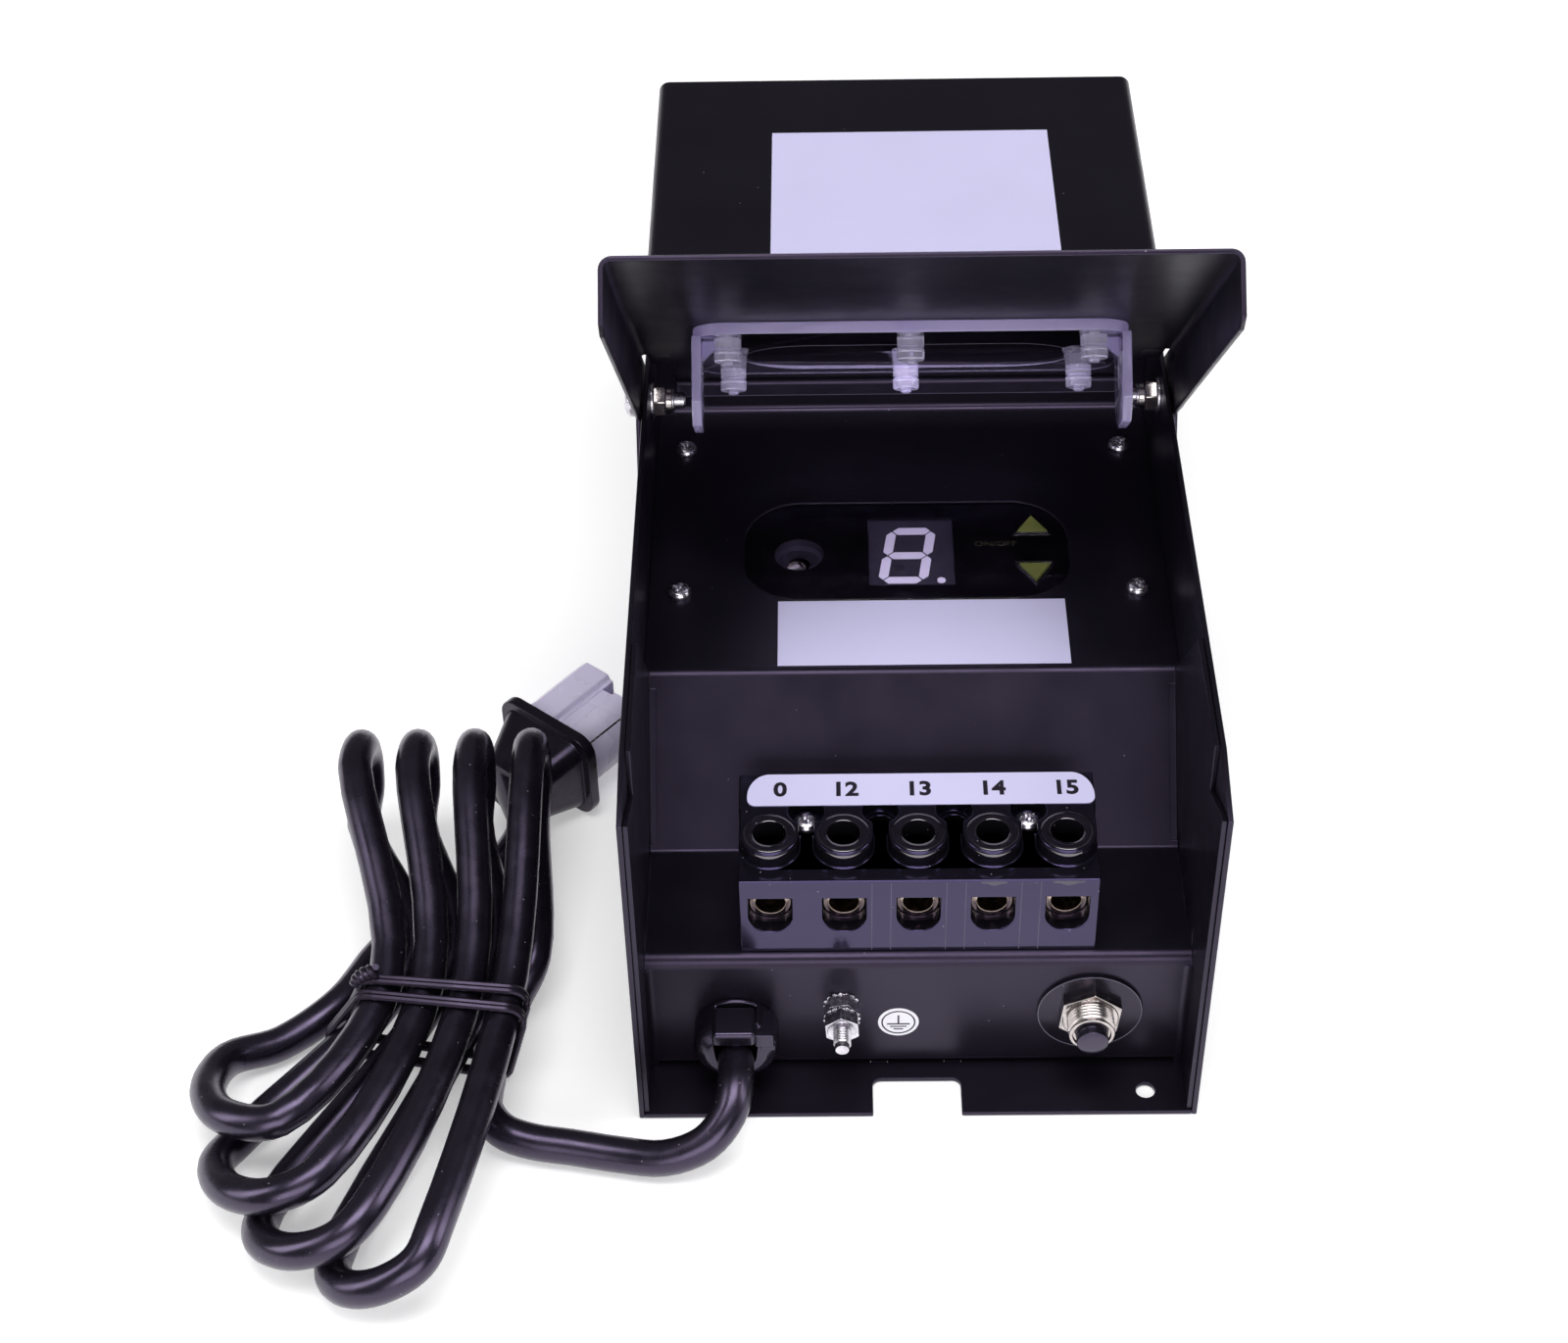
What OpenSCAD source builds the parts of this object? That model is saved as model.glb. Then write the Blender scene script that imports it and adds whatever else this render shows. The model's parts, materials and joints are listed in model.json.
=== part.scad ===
// Low voltage landscape transformer, lying on its back with its door open.
// X runs across the case, Y from its bottom end to its top end, and Z out of its front.
// The origin is in the middle of the back. Places along the case count from its bottom end.

/* [Case] */
// Width over the side walls
case_w = 127; // [120:1:160]
// Length from the bottom lip to the top end
case_len = 264; // [262:1:300]
// Depth from the back to the front of the upper cover
case_h = 113; // [108:1:130]
// Thickness of the sheet steel
sheet_t = 1.2; // [1:0.1:1.5]
// Inside radius of the bends
bend_r = 1.6; // [1.2:0.1:2]
// Depth of the side walls below the upper cover
wall_h = 99.5; // [97:0.5:102]
// Depth of the side walls at the bottom end
wall_end_h = 94.5; // [90:0.5:97]
// Length of the slope at the bottom of the side walls
wall_slope_len = 17; // [12:1:22]

/* [Stepped front panel] */
// Distance of the bottom face from the end of the lip
face_y = 14.4; // [13:0.1:16]
// Height of the ledge that carries the terminals
ledge_z = 37.3; // [36:0.1:40]
// Depth of the ledge up to the slope
ledge_len = 34.1; // [33:0.1:36]
// Height of the control panel
panel_z = 67; // [64:0.5:68]
// Place where the control panel begins
panel_y = 77.7; // [76:0.1:80]
// Place of the step up to the upper cover
step_y = 178.1; // [177:0.1:190]
// Height of the side flanges of the wiring compartment
flange_h = 99; // [96:0.5:101]

/* [Control panel] */
// Width of the control window
window_w = 79; // [76:1:84]
// Height of the control window
window_h = 36.8; // [34:0.2:40]
// Corner radius of the control window
window_r = 14; // [10:0.5:16]
// Place of the middle of the control window
window_y = 121.1; // [119:0.1:124]
// Depth of the control housing under the panel
housing_h = 15; // [14:0.5:18]
// Travel of the up and down keys
key_travel = 0.3; // [0.2:0.05:0.5]

/* [Door] */
// Place of the hinge axis along the case
hinge_y = 149; // [147:0.5:152]
// Height of the hinge axis
hinge_z = 92; // [91:0.5:92.5]
// Length of the door from the hinge axis to its free end
door_len = 125.8; // [120:0.2:128]
// Length of the door behind the hinge axis
door_tail = 20; // [16:0.5:21]
// Depth of the side wings of the door
wing_h = 16; // [14:0.5:18]
// Angle at which the door stands open
door_angle = 46; // [0:1:60]
// Diameter of the hinge bolts
hinge_d = 4; // [3.5:0.1:4.5]
// Width of the clear window of the door
glass_w = 99; // [94:1:104]
// Length of the clear window of the door
glass_len = 54; // [50:1:58]
// Thickness of the clear window
glass_t = 2.8; // [2:0.1:3.2]

/* [Terminals] */
// Width of the terminal block
block_w = 79.3; // [78:0.1:90]
// Length of the terminal block along the case
block_len = 29.1; // [28:0.1:31]
// Height of the terminal block up to its deck
block_h = 22.6; // [22:0.1:26]
// Height of the terminal towers above the deck
tower_h = 4.5; // [3:0.1:6]
// Distance between two terminals
terminal_pitch = 16.4; // [16:0.1:17.5]
// Diameter of a terminal tower
tower_d = 13; // [12:0.1:13.4]
// Diameter of the screw hole in a tower
tower_hole_d = 7.4; // [7:0.1:8]
// Width of a wire entry
entry_w = 9.5; // [9.2:0.1:10]
// Height of a wire entry
entry_h = 10.5; // [10:0.1:11]

/* [Bottom face] */
// Distance of the strain relief from the left side of the case
relief_in = 22.4; // [20:0.1:25]
// Height of the strain relief
relief_z = 15.2; // [15:0.1:17]
// Width of the strain relief
relief_d = 19.3; // [18:0.1:20]
// Place of the ground stud across the case
stud_x = -17.1; // [-19:0.1:-15]
// Height of the ground stud
stud_z = 22.5; // [20:0.1:25]
// Diameter of the ground stud
stud_d = 4; // [3.5:0.1:4.5]
// Distance of the circuit breaker from the right side of the case
breaker_in = 24.4; // [22:0.1:28]
// Height of the circuit breaker
breaker_z = 19.8; // [19:0.1:22]
// Diameter of the breaker's ring plate
ring_d = 24; // [22:0.1:25]
// Diameter of the breaker's threaded neck
neck_d = 10.2; // [9.5:0.1:11]
// Diameter of the reset button
button_d = 7.2; // [6.5:0.1:7.6]
// Travel of the reset button
button_travel = 2.5; // [2:0.1:3]

/* [Transformer] */
// Gap between the iron core and each side wall
core_side_gap = 5.3; // [2:0.1:9]
// Thickness of the stack of laminations
core_t = 42; // [36:1:43]

/* [Supply cord] */
// Diameter of the cord
cord_d = 8.2; // [8.1:0.1:8.3]

/* [Hidden] */
$fn = 48;
bend_steps = 6;
cut = 1;
fit = 0.1;
play = 0.3;
contact = 0.2;
label_t = 0.2;
inner_w = case_w - 2 * sheet_t;
bend_out = bend_r + sheet_t;
ledge_y = face_y + ledge_len;
cover_under = case_h - sheet_t;

// Lip of the back panel
lip_hole_in = 11.2;
lip_hole_x = case_w / 2 - lip_hole_in;
lip_hole_y = 6.2;
lip_hole_d = 4.3;
notch_w = 20.2;
notch_len = 10.1;
notch_r = 2;
tab_x = 8.5;
tab_w = 4;
back_flange_h = 14;
back_flange_start = 30;
back_flange_gap = 10;
keyhole_d = 10;
keyhole_slot_d = 5;
keyhole_from_top = 26;
keyhole_slot_len = 9;

// Front panel
foot_len = 12;
cover_lap = 10;
fillet_r = 1.8;
flange_x = inner_w / 2 - sheet_t;
flange_front = 0.6;
flange_slope_y = 5;
flange_slope_z = 93;
flange_notch_y = 18;
flange_notch_z = 86;
flange_back = 52;
screw_y = [105.5, 160.8];
screw_d = 3;
screw_len = 8;
screw_head_d = 5.6;
screw_head_h = 2;
rail_share = 0.48;
rail_screw_share = 0.74;
rail_h = 12;
rail_y = 97;
rail_end = 170;

// Control window, its mask and what lies under it
lens_t = 1;
lens_rim = 2;
lens_sunk = 0.2;
mask_t = 0.3;
eye_x = -26.2;
eye_d = 12;
sensor_x = -26.8;
sensor_y = 118.4;
sensor_d = 5;
digit_x = 0.2;
digit_y = 121;
digit_w = 12;
digit_h = 20.8;
digit_lean = 8;
segment_w = 2.3;
segment_gap = 0.35;
segment_t = 0.25;
dot_d = 2;
pane_x = 1.1;
pane_y = 121.9;
pane_w = 20.8;
pane_h = 25.3;
display_w = 22;
display_len = 27;
housing_wall = 1.6;
board_t = 1.6;
board_lift = 2.4;
key_x = 31;
up_key_y = 131.1;
down_key_y = 112.9;
key_w = 7.4;
key_h = 6;
key_stem_d = 2.4;
key_rim_d = 9;
key_rim_t = 0.8;
rim_w = window_w + 2 * lens_rim;
rim_h = window_h + 2 * lens_rim;
rim_r = window_r + lens_rim;
rail_w = rail_share * (inner_w - rim_w) / 2;
screw_x = inner_w / 2 - rail_screw_share * rail_w;
switch_w = 6;
switch_h = 3.5;
switch_top_d = 3.2;
switch_top_h = 0.6;

// Door
door_gap = 0.4;
door_lift = 0.7;
tail_slot = 18;
tail_gap = 5.3;
tail_flange_h = 5.5;
door_inner = wall_h + door_lift - hinge_z;
door_outer = door_inner + sheet_t;
door_half = case_w / 2 + door_gap + sheet_t;
wing_low = door_outer - wing_h;
ear_low = 20;
ear_start = 13;
ear_end = 8;
ear_r = 5;
wing_chamfer = 4;
oval_w = 77;
oval_h = 31;
oval_y = 28;
glass_end = 5;
glass_r = 8;
leg_t = 2.2;
leg_len = 20;
leg_h = 20;
leg_tip = 5;
gusset = 4;
peg_x = 41.5;
peg_inset = 7;
peg_d = 5.6;
peg_cap_d = 6.4;
peg_cap_h = 3;
peg_h = 9.6;
peg_nub_d = 2.6;
peg_nub_h = 1.2;
washer_t = 0.8;
washer_d = 9;
bolt_head_d = 7.6;
bolt_head_h = 2.6;
nut_af = 7;
nut_h = 4.6;
bolt_in = 8.3;
bolt_tip = inner_w / 2 - bolt_in;

// Terminal block
block_y = 17;
block_wall = 2;
entry_z = 6.5;
entry_depth = 23;
rail_len = 10.6;
pole_y = 10.6;
strip_w = 78;
strip_h = 9.8;
strip_t = 0.3;
barrel_in = 4.4;
barrel_len = 17;
barrel_wall = 1.35;
clamp_d = 5;
clamp_len = 6;
slot_w = 1;
slot_h = 1.2;
pocket_d = 8;
pocket_h = 6;
mount_screw_y = 17.5;
poles = 5;

// Bottom face pieces
relief_head = 9;
relief_shank_d = 15.4;
relief_shank = 6;
relief_wedge_w = 9;
relief_edge = 1.5;
stud_len = 13.6;
stud_head_d = 7;
stud_head_h = 1;
keps_h = 3.4;
keps_washer_t = 0.8;
keps_washer_d = 9;
keps_teeth = 10;
keps_tooth = 1.2;
relief_x = relief_in - case_w / 2;
breaker_x = case_w / 2 - breaker_in;
ring_t = 0.8;
neck_len = 7.6;
neck_nut_af = 12.7;
neck_nut_h = 3;
breaker_w = 15;
breaker_len = 30;
breaker_h = 31;
button_out = 3;
button_len = 9;
ground_mark_x = -4.2;
ground_mark_z = 16.2;
ground_mark_d = 9.3;

// Labels
rating_x = 3.4;
rating_w = 72.2;
rating_gap = 2.9;
rating_end = 27;
rating_y = step_y + rating_gap;
rating_len = case_len - rating_y - rating_end;
guide_x = 3;
guide_w = 68.4;
guide_y = 79.3;
guide_len = 22.8;

// Transformer and relay
core_top_gap = 4.5;
core_under = 13.6;
core_room_w = inner_w - 2 * core_side_gap;
core_room_len = case_len - core_top_gap - step_y + core_under;
core_unit = min(core_room_w / 6, core_room_len / 5);
core_w = core_unit * 6;
core_y = case_len - core_top_gap - core_unit * 2.5;
core_z = 18;
coil_gap = 0.5;
coil_room = 4.5;
coil_wall = core_unit - coil_gap - coil_room;
flange_t = 1.5;
core_bolt_d = 5;
core_bolt_head_d = 8.4;
core_bolt_head_h = 3;
spacer_d = 9;
relay_w = 28;
relay_len = 34;
relay_h = 26;
relay_gap = 31.5;
relay_y = core_y - core_unit * 2.5 - relay_gap - relay_len / 2;
lead_d = 3;

// Supply cord: where the straight stretches pass, picked by hand on the table
cord_low = cord_d / 2;
lead_route = [
    [-41.1, 20.4, 15.2], [-41.1, 5.4, 15.2], [-41.1, -2.8, 15.2], [-42.6, -9, 12.4], [-48, -14, 8.4],
    [-57, -15.4, 5.2], [-67, -13.6, 4.2], [-78, -11.4, 4.2], [-87, -9.8, 4.3], [-94, -7, 4.9],
    [-98.2, -1.2, 5.7], [-98.2, 7, 5.7]
];
tail_route = [
    [-107, 71, 4.2], [-101, 77, 4.2], [-98, 81.6, 5], [-95.4, 86, 7]
];

// Hank: four loops that fan out at the bottom and stand upright at the top
hank_loops = 4;
hank_steps = 3;
layer_h = 8.9;
slot_pitch = 9.5;
waist_x = -121.5;
waist_y = 23;
low_rise = 14;
fan_x = -116;
fan_y = 8;
fan_from = 190;
fan_turn = 80;
fan_power = 0.75;
reach_first = 29;
reach_step = 7;
bow_first = 17;
bow_step = 1.7;
bow_rise = 14;
crown_y = 91;
crown_mid_x = -112.5;
crown_pitch = 13.8;
crown_len = 14;
crown_low = 5;
crown_mid = 14.5;
crown_high = 24;
slot_offset_share = 0.4;
hank_in = [[-98.2, 7, 5.7], [-98.2, 15.4, 5.7], [-97.8, 19.6, 5.6], [-93.4, 29, 8.6]];
hank_out = [[-135, 31, 5.2], [-127.5, 47, 4.2], [-119, 59, 4.2], [-113, 65, 4.2], [-107, 71, 4.2]];

// Plug and its cap
plug_at = [-87.6, 106.6, 12.8];
plug_turn = 50.6;
plug_w = 30;
plug_t = 25;
plug_flange = 3;
plug_len = 15;
plug_back_w = 17;
plug_back_t = 15;
plug_tail_d = 11;
plug_offset = 1.7;
blade_w = 6.3;
blade_t = 1.5;
blade_len = 17.5;
blade_pitch = 12.7;
blade_side = -5.5;
pin_side = 6.4;
pin_d = 4.8;
pin_len = 21.4;
cap_wall = 1.2;
cap_t = 19;
cap_low = -10.4;
cap_mid = 1.6;
cap_high = 13;
cap_short = 18.8;
cap_long = 22.8;

// Tie round the waist of the hank
tie_t = 1;
tie_w = 2.4;
tie_y = [16.5, 21];
tie_rows = [
    [[-134, 8.6], [-123.4, 22.2], [-92.6, 22.2], [-96.4, 5.8]],
    [[-129.4, 9.6], [-122.6, 22.4], [-92.4, 22.4], [-95.8, 5.8]]
];

// A bent sheet: the path is its outer side, and the metal lies on the left of the path
function unit(v) = v / norm(v);
function left_of(v) = [-v[1], v[0]];
function turn_of(a, b) = atan2(a[0] * b[1] - a[1] * b[0], a * b);
function bend_arc(p, i, off) =
    let(d0 = unit(p[i] - p[i - 1]), d1 = unit(p[i + 1] - p[i]), a = turn_of(d0, d1), s = sign(a),
        path_r = s > 0 ? bend_out : bend_r, arc_r = s > 0 ? bend_out - off : bend_r + off,
        c = p[i] - d0 * path_r * tan(abs(a) / 2) + left_of(d0) * s * path_r,
        v = left_of(d0) * -s)
    [for (k = [0:bend_steps]) let(b = a * k / bend_steps)
        c + arc_r * [v[0] * cos(b) - v[1] * sin(b), v[0] * sin(b) + v[1] * cos(b)]];
function sheet_side(p, off) = let(n = len(p)) concat(
    [p[0] + left_of(unit(p[1] - p[0])) * off],
    [for (i = [1:1:n - 2]) each bend_arc(p, i, off)],
    [p[n - 1] + left_of(unit(p[n - 1] - p[n - 2])) * off]);
function turned_round(p) = [for (i = [len(p) - 1:-1:0]) p[i]];
function sheet_outline(p) = concat(sheet_side(p, 0), turned_round(sheet_side(p, sheet_t)));

// Placing helpers
module from_end() {
    translate([0, -case_len / 2, 0]) children();
}
module along_x(x, w) {
    translate([x, 0, 0]) rotate([90, 0, 90]) linear_extrude(w) children();
}
module along_y(y, len) {
    translate([0, y + len, 0]) rotate([90, 0, 0]) linear_extrude(len) children();
}
module both_sides() {
    children();
    mirror([1, 0, 0]) children();
}
module rounded_rect(w, h, r) {
    square([w - 2 * r, h], center = true);
    square([w, h - 2 * r], center = true);
    for (x = [-1, 1], y = [-1, 1]) translate([x * (w / 2 - r), y * (h / 2 - r)]) circle(r);
}
module oval(w, h) {
    square([w - h, h], center = true);
    for (x = [-1, 1]) translate([x * (w - h) / 2, 0]) circle(h / 2);
}
module hexagon(af) {
    circle(af / sqrt(3), $fn = 6);
}
module pole_places() {
    for (i = [0:poles - 1]) translate([(i - (poles - 1) / 2) * terminal_pitch, 0, 0]) children();
}

// Case
module outer_cover() {
    leg_z = case_h - bend_out;
    side = [[0, 0], [0, wall_end_h], [wall_slope_len, wall_h], [step_y, wall_h],
        [step_y, leg_z], [case_len, leg_z], [case_len, 0]];
    half = case_w / 2;
    front = [[half, wall_h], [half, case_h], [-half, case_h], [-half, wall_h]];
    color([0.05, 0.05, 0.06]) from_end() {
        difference() {
            union() {
                both_sides() along_x(half - sheet_t, sheet_t) polygon(side);
                along_y(step_y, case_len - step_y) polygon(sheet_outline(front));
            }
            translate([-case_w, hinge_y, hinge_z]) rotate([0, 90, 0])
                cylinder(d = hinge_d + 2 * fit, h = 2 * case_w);
        }
    }
}
module back_panel() {
    half = inner_w / 2;
    flange_len = case_len - back_flange_start - back_flange_gap;
    long_path = [[0, 0], [case_len, 0], [case_len, cover_under]];
    cross_path = [[-half, back_flange_h], [-half, 0], [half, 0], [half, back_flange_h]];
    color([0.05, 0.05, 0.06]) from_end() difference() {
        union() {
            difference() {
                along_x(-half, inner_w) polygon(sheet_outline(long_path));
                both_sides() translate([half - bend_out, back_flange_start, -cut])
                    cube([bend_out + cut, flange_len, sheet_t + 2 * cut]);
            }
            along_y(back_flange_start, flange_len) polygon(sheet_outline(cross_path));
        }
        translate([lip_hole_x, lip_hole_y, -cut]) cylinder(d = lip_hole_d, h = sheet_t + 2 * cut);
        translate([0, 0, -cut]) linear_extrude(sheet_t + 2 * cut) {
            rounded_rect(notch_w, 2 * notch_len, notch_r);
            for (x = [-1, 1]) translate([x * tab_x, face_y + sheet_t])
                square([tab_w, sheet_t], center = true);
            translate([0, case_len - keyhole_from_top]) circle(d = keyhole_d);
            translate([0, case_len - keyhole_from_top + keyhole_slot_len]) circle(d = keyhole_slot_d);
            translate([-keyhole_slot_d / 2, case_len - keyhole_from_top])
                square([keyhole_slot_d, keyhole_slot_len]);
        }
        core_corners() translate([0, 0, -cut]) cylinder(d = core_bolt_d + 2 * fit, h = sheet_t + 2 * cut);
    }
}
module front_panel() {
    half = inner_w / 2;
    path = [[step_y + cover_lap, cover_under], [step_y, cover_under], [step_y, panel_z],
        [panel_y, panel_z], [ledge_y, ledge_z], [face_y, ledge_z], [face_y, sheet_t],
        [face_y + foot_len, sheet_t]];
    slope = atan2(panel_z - ledge_z, panel_y - ledge_y);
    slope_len = norm([panel_z - ledge_z, panel_y - ledge_y]);
    flange = [[flange_front, sheet_t + contact], [face_y + sheet_t, sheet_t + contact],
        [face_y + sheet_t, ledge_z - sheet_t], [ledge_y + sheet_t, ledge_z - sheet_t],
        [panel_y, panel_z - sheet_t], [panel_y, panel_z], [flange_back, flange_h],
        [flange_notch_y, flange_h], [flange_notch_y, flange_notch_z],
        [flange_slope_y, flange_slope_z], [flange_front, wall_end_h - contact]];
    color([0.05, 0.05, 0.06]) from_end() difference() {
        union() {
            along_x(-half, inner_w) polygon(sheet_outline(path));
            both_sides() along_x(flange_x, sheet_t) polygon(flange);
            both_sides() corner_fillet([flange_x, face_y, sheet_t], ledge_z - sheet_t - bend_out, [0, 0, 0]);
            both_sides() corner_fillet([flange_x, ledge_y - bend_r, ledge_z], ledge_len - bend_out - bend_r,
                [90, 0, 0]);
            both_sides() corner_fillet([flange_x, panel_y - bend_out, panel_z - bend_out], slope_len - 2 * bend_out,
                [90 + slope, 0, 0]);
        }
        translate([0, window_y, panel_z - sheet_t - cut]) linear_extrude(sheet_t + 2 * cut)
            rounded_rect(window_w, window_h, window_r);
        for (x = [-1, 1]) for (y = screw_y) translate([x * screw_x, y, panel_z - sheet_t - cut])
            cylinder(d = screw_d + 2 * fit, h = sheet_t + 2 * cut);
        for (x = [-1, 1]) translate([x * 1.5 * terminal_pitch, block_y + mount_screw_y, ledge_z - sheet_t - cut])
            cylinder(d = screw_d + 2 * fit, h = sheet_t + 2 * cut);
        translate([relief_x, face_y - cut, relief_z]) rotate([-90, 0, 0])
            cylinder(d = relief_shank_d + 2 * fit, h = sheet_t + 2 * cut);
        translate([stud_x, face_y - cut, stud_z]) rotate([-90, 0, 0])
            cylinder(d = stud_d + 2 * fit, h = sheet_t + 2 * cut);
        translate([breaker_x, face_y - cut, breaker_z]) rotate([-90, 0, 0])
            cylinder(d = neck_d + 2 * fit, h = sheet_t + 2 * cut);
    }
}
// The hollow round between a face and a side flange, along Z before it is turned
module corner_fillet(at, len, turn) {
    translate(at) rotate(turn) linear_extrude(len) difference() {
        translate([-fillet_r, -fillet_r]) square(fillet_r);
        translate([-fillet_r, -fillet_r]) circle(fillet_r);
    }
}
module panel_brackets() {
    half = inner_w / 2;
    top = panel_z - sheet_t;
    path = [[half, top - rail_h], [half, top], [half - rail_w - sheet_t, top]];
    color([0.62, 0.63, 0.65]) from_end() difference() {
        both_sides() along_y(rail_y, rail_end - rail_y) polygon(sheet_outline(path));
        for (x = [-1, 1]) for (y = screw_y) translate([x * screw_x, y, top - sheet_t - cut])
            cylinder(d = screw_d + 2 * fit, h = sheet_t + 2 * cut);
    }
}

// A pan head with a cross recess, its shank pointing down from the origin
module pan_screw(d, len, head_d, head_h) {
    difference() {
        union() {
            translate([0, 0, -len]) cylinder(d = d, h = len);
            rotate_extrude() polygon([[0, 0], [head_d / 2, 0], [head_d / 2, head_h * 0.45],
                [head_d * 0.42, head_h * 0.8], [head_d * 0.25, head_h], [0, head_h]]);
        }
        translate([0, 0, head_h - head_d / 5]) for (a = [0, 90]) rotate(a)
            translate([-head_d * 0.28, -head_d / 14, 0]) cube([head_d * 0.56, head_d / 7, head_h]);
    }
}
module panel_screws() {
    color([0.75, 0.74, 0.76]) from_end()
        for (x = [-1, 1]) for (y = screw_y) translate([x * screw_x, y, panel_z]) rotate(x * 20)
            pan_screw(screw_d, screw_len, screw_head_d, screw_head_h);
}

// Control window and what lies under it
lens_top = panel_z - lens_sunk;
mask_top = panel_z - sheet_t - lens_t;
mask_low = mask_top - mask_t;
board_low = mask_low - housing_h + housing_wall + board_lift;
board_top = board_low + board_t;
module key_hole(up) {
    y = up ? up_key_y : down_key_y;
    translate([key_x, y, mask_low - cut]) rotate(up ? 0 : 180)
        linear_extrude(housing_h) polygon(key_corners(contact));
}
function key_corners(grow) = let(h = key_h / 2, w = key_w / 2, s = grow * key_h / key_w)
    [[-w - 2 * grow, -h - grow], [w + 2 * grow, -h - grow], [0, h + 2 * grow + s]];
module control_lens() {
    color([0.1, 0.1, 0.12, 0.5]) from_end() difference() {
        union() {
            translate([0, window_y, mask_top]) linear_extrude(lens_t) rounded_rect(rim_w, rim_h, rim_r);
            translate([0, window_y, mask_top]) linear_extrude(lens_top - mask_top)
                rounded_rect(window_w - 2 * fit, window_h - 2 * fit, window_r - fit);
        }
        key_hole(true);
        key_hole(false);
    }
}
module lens_mask() {
    color([0.02, 0.02, 0.02]) from_end() difference() {
        translate([0, window_y, mask_low]) linear_extrude(mask_t) rounded_rect(rim_w, rim_h, rim_r);
        translate([eye_x, window_y, mask_low - cut]) cylinder(d = eye_d, h = mask_t + 2 * cut);
        translate([pane_x - pane_w / 2, pane_y - pane_h / 2, mask_low - cut])
            cube([pane_w, pane_h, mask_t + 2 * cut]);
        key_hole(true);
        key_hole(false);
    }
}
module control_housing() {
    color([0.1, 0.1, 0.1]) from_end() translate([0, window_y, mask_low - housing_h]) {
        difference() {
            linear_extrude(housing_h) rounded_rect(rim_w, rim_h, rim_r);
            translate([0, 0, housing_wall]) linear_extrude(housing_h)
                rounded_rect(rim_w - 2 * housing_wall, rim_h - 2 * housing_wall, rim_r - housing_wall);
        }
        for (x = [-1, 1]) for (y = [-1, 1])
            translate([x * (rim_w / 2 - rim_r), y * (rim_h / 2 - housing_wall * 2.5), housing_wall])
                cylinder(d = board_lift, h = board_lift);
    }
}
module control_board() {
    color([0.1, 0.35, 0.2]) from_end() translate([0, window_y, board_low]) linear_extrude(board_t)
        rounded_rect(rim_w - 2 * housing_wall - 2 * play, rim_h - 2 * housing_wall - 2 * play,
            rim_r - housing_wall);
}
module key_switches() {
    color([0.2, 0.2, 0.2]) from_end() for (y = [up_key_y, down_key_y]) translate([key_x, y, board_top]) {
        translate([-switch_w / 2, -switch_w / 2, 0]) cube([switch_w, switch_w, switch_h]);
        cylinder(d = switch_top_d, h = switch_h + switch_top_h);
    }
}
module digit_display() {
    color([0.25, 0.24, 0.28]) from_end()
        translate([pane_x - display_w / 2, pane_y - display_len / 2, board_top])
            cube([display_w, display_len, mask_low - segment_t - contact - board_top]);
}
// One bar of the digit between two corners, with pointed ends
function lean(p) = [p[0] + p[1] * tan(digit_lean), p[1]];
module digit_bar(a, b) {
    d = unit(b - a);
    n = left_of(d) * segment_w / 2;
    g = d * segment_gap;
    m = d * segment_w / 2;
    polygon([for (p = [a + g, a + g + m + n, b - g - m + n, b - g, b - g - m - n, a + g + m - n]) lean(p)]);
}
module digit_segments() {
    w = digit_w / 2 - segment_w / 2;
    h = digit_h / 2 - segment_w / 2;
    corners = [[-w, -h], [-w, 0], [-w, h], [w, h], [w, 0], [w, -h]];
    pairs = [[0, 1], [1, 2], [2, 3], [3, 4], [4, 5], [5, 0], [1, 4]];
    color([0.93, 0.9, 0.97]) from_end() translate([digit_x, digit_y, mask_low - segment_t - contact])
        linear_extrude(segment_t) {
            for (p = pairs) digit_bar(corners[p[0]], corners[p[1]]);
            translate([digit_w / 2 + dot_d, -digit_h / 2 + dot_d / 2]) circle(d = dot_d);
        }
}
module photocell() {
    r = sensor_d / 2;
    top = mask_low - contact - r;
    color([0.85, 0.83, 0.9, 0.6]) from_end() translate([sensor_x, sensor_y, 0]) {
        translate([0, 0, board_top]) cylinder(r = r, h = top - board_top);
        translate([0, 0, top]) rotate_extrude() intersection() {
            circle(r);
            square(r);
        }
    }
}
module key(y, up) {
    rim_top = mask_low - key_travel - contact;
    switch_top = board_top + switch_h + switch_top_h;
    color([0.45, 0.45, 0.15]) from_end() translate([key_x, y, 0]) {
        translate([0, 0, rim_top - fit]) rotate(up ? 0 : 180) linear_extrude(lens_top - rim_top + fit)
            polygon(key_corners(0));
        translate([0, 0, rim_top - key_rim_t]) cylinder(d = key_rim_d, h = key_rim_t);
        translate([0, 0, switch_top + key_travel + fit])
            cylinder(d = key_stem_d, h = rim_top - key_rim_t / 2 - switch_top - key_travel - fit);
    }
}
module up_key() {
    key(up_key_y, true);
}
module down_key() {
    key(down_key_y, false);
}
module guide_label() {
    color([0.83, 0.8, 0.95]) from_end() translate([guide_x - guide_w / 2, guide_y, panel_z])
        cube([guide_w, guide_len, label_t]);
}
module rating_label() {
    color([0.83, 0.8, 0.95]) from_end() translate([rating_x - rating_w / 2, rating_y, case_h])
        cube([rating_w, rating_len, label_t]);
}

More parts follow.
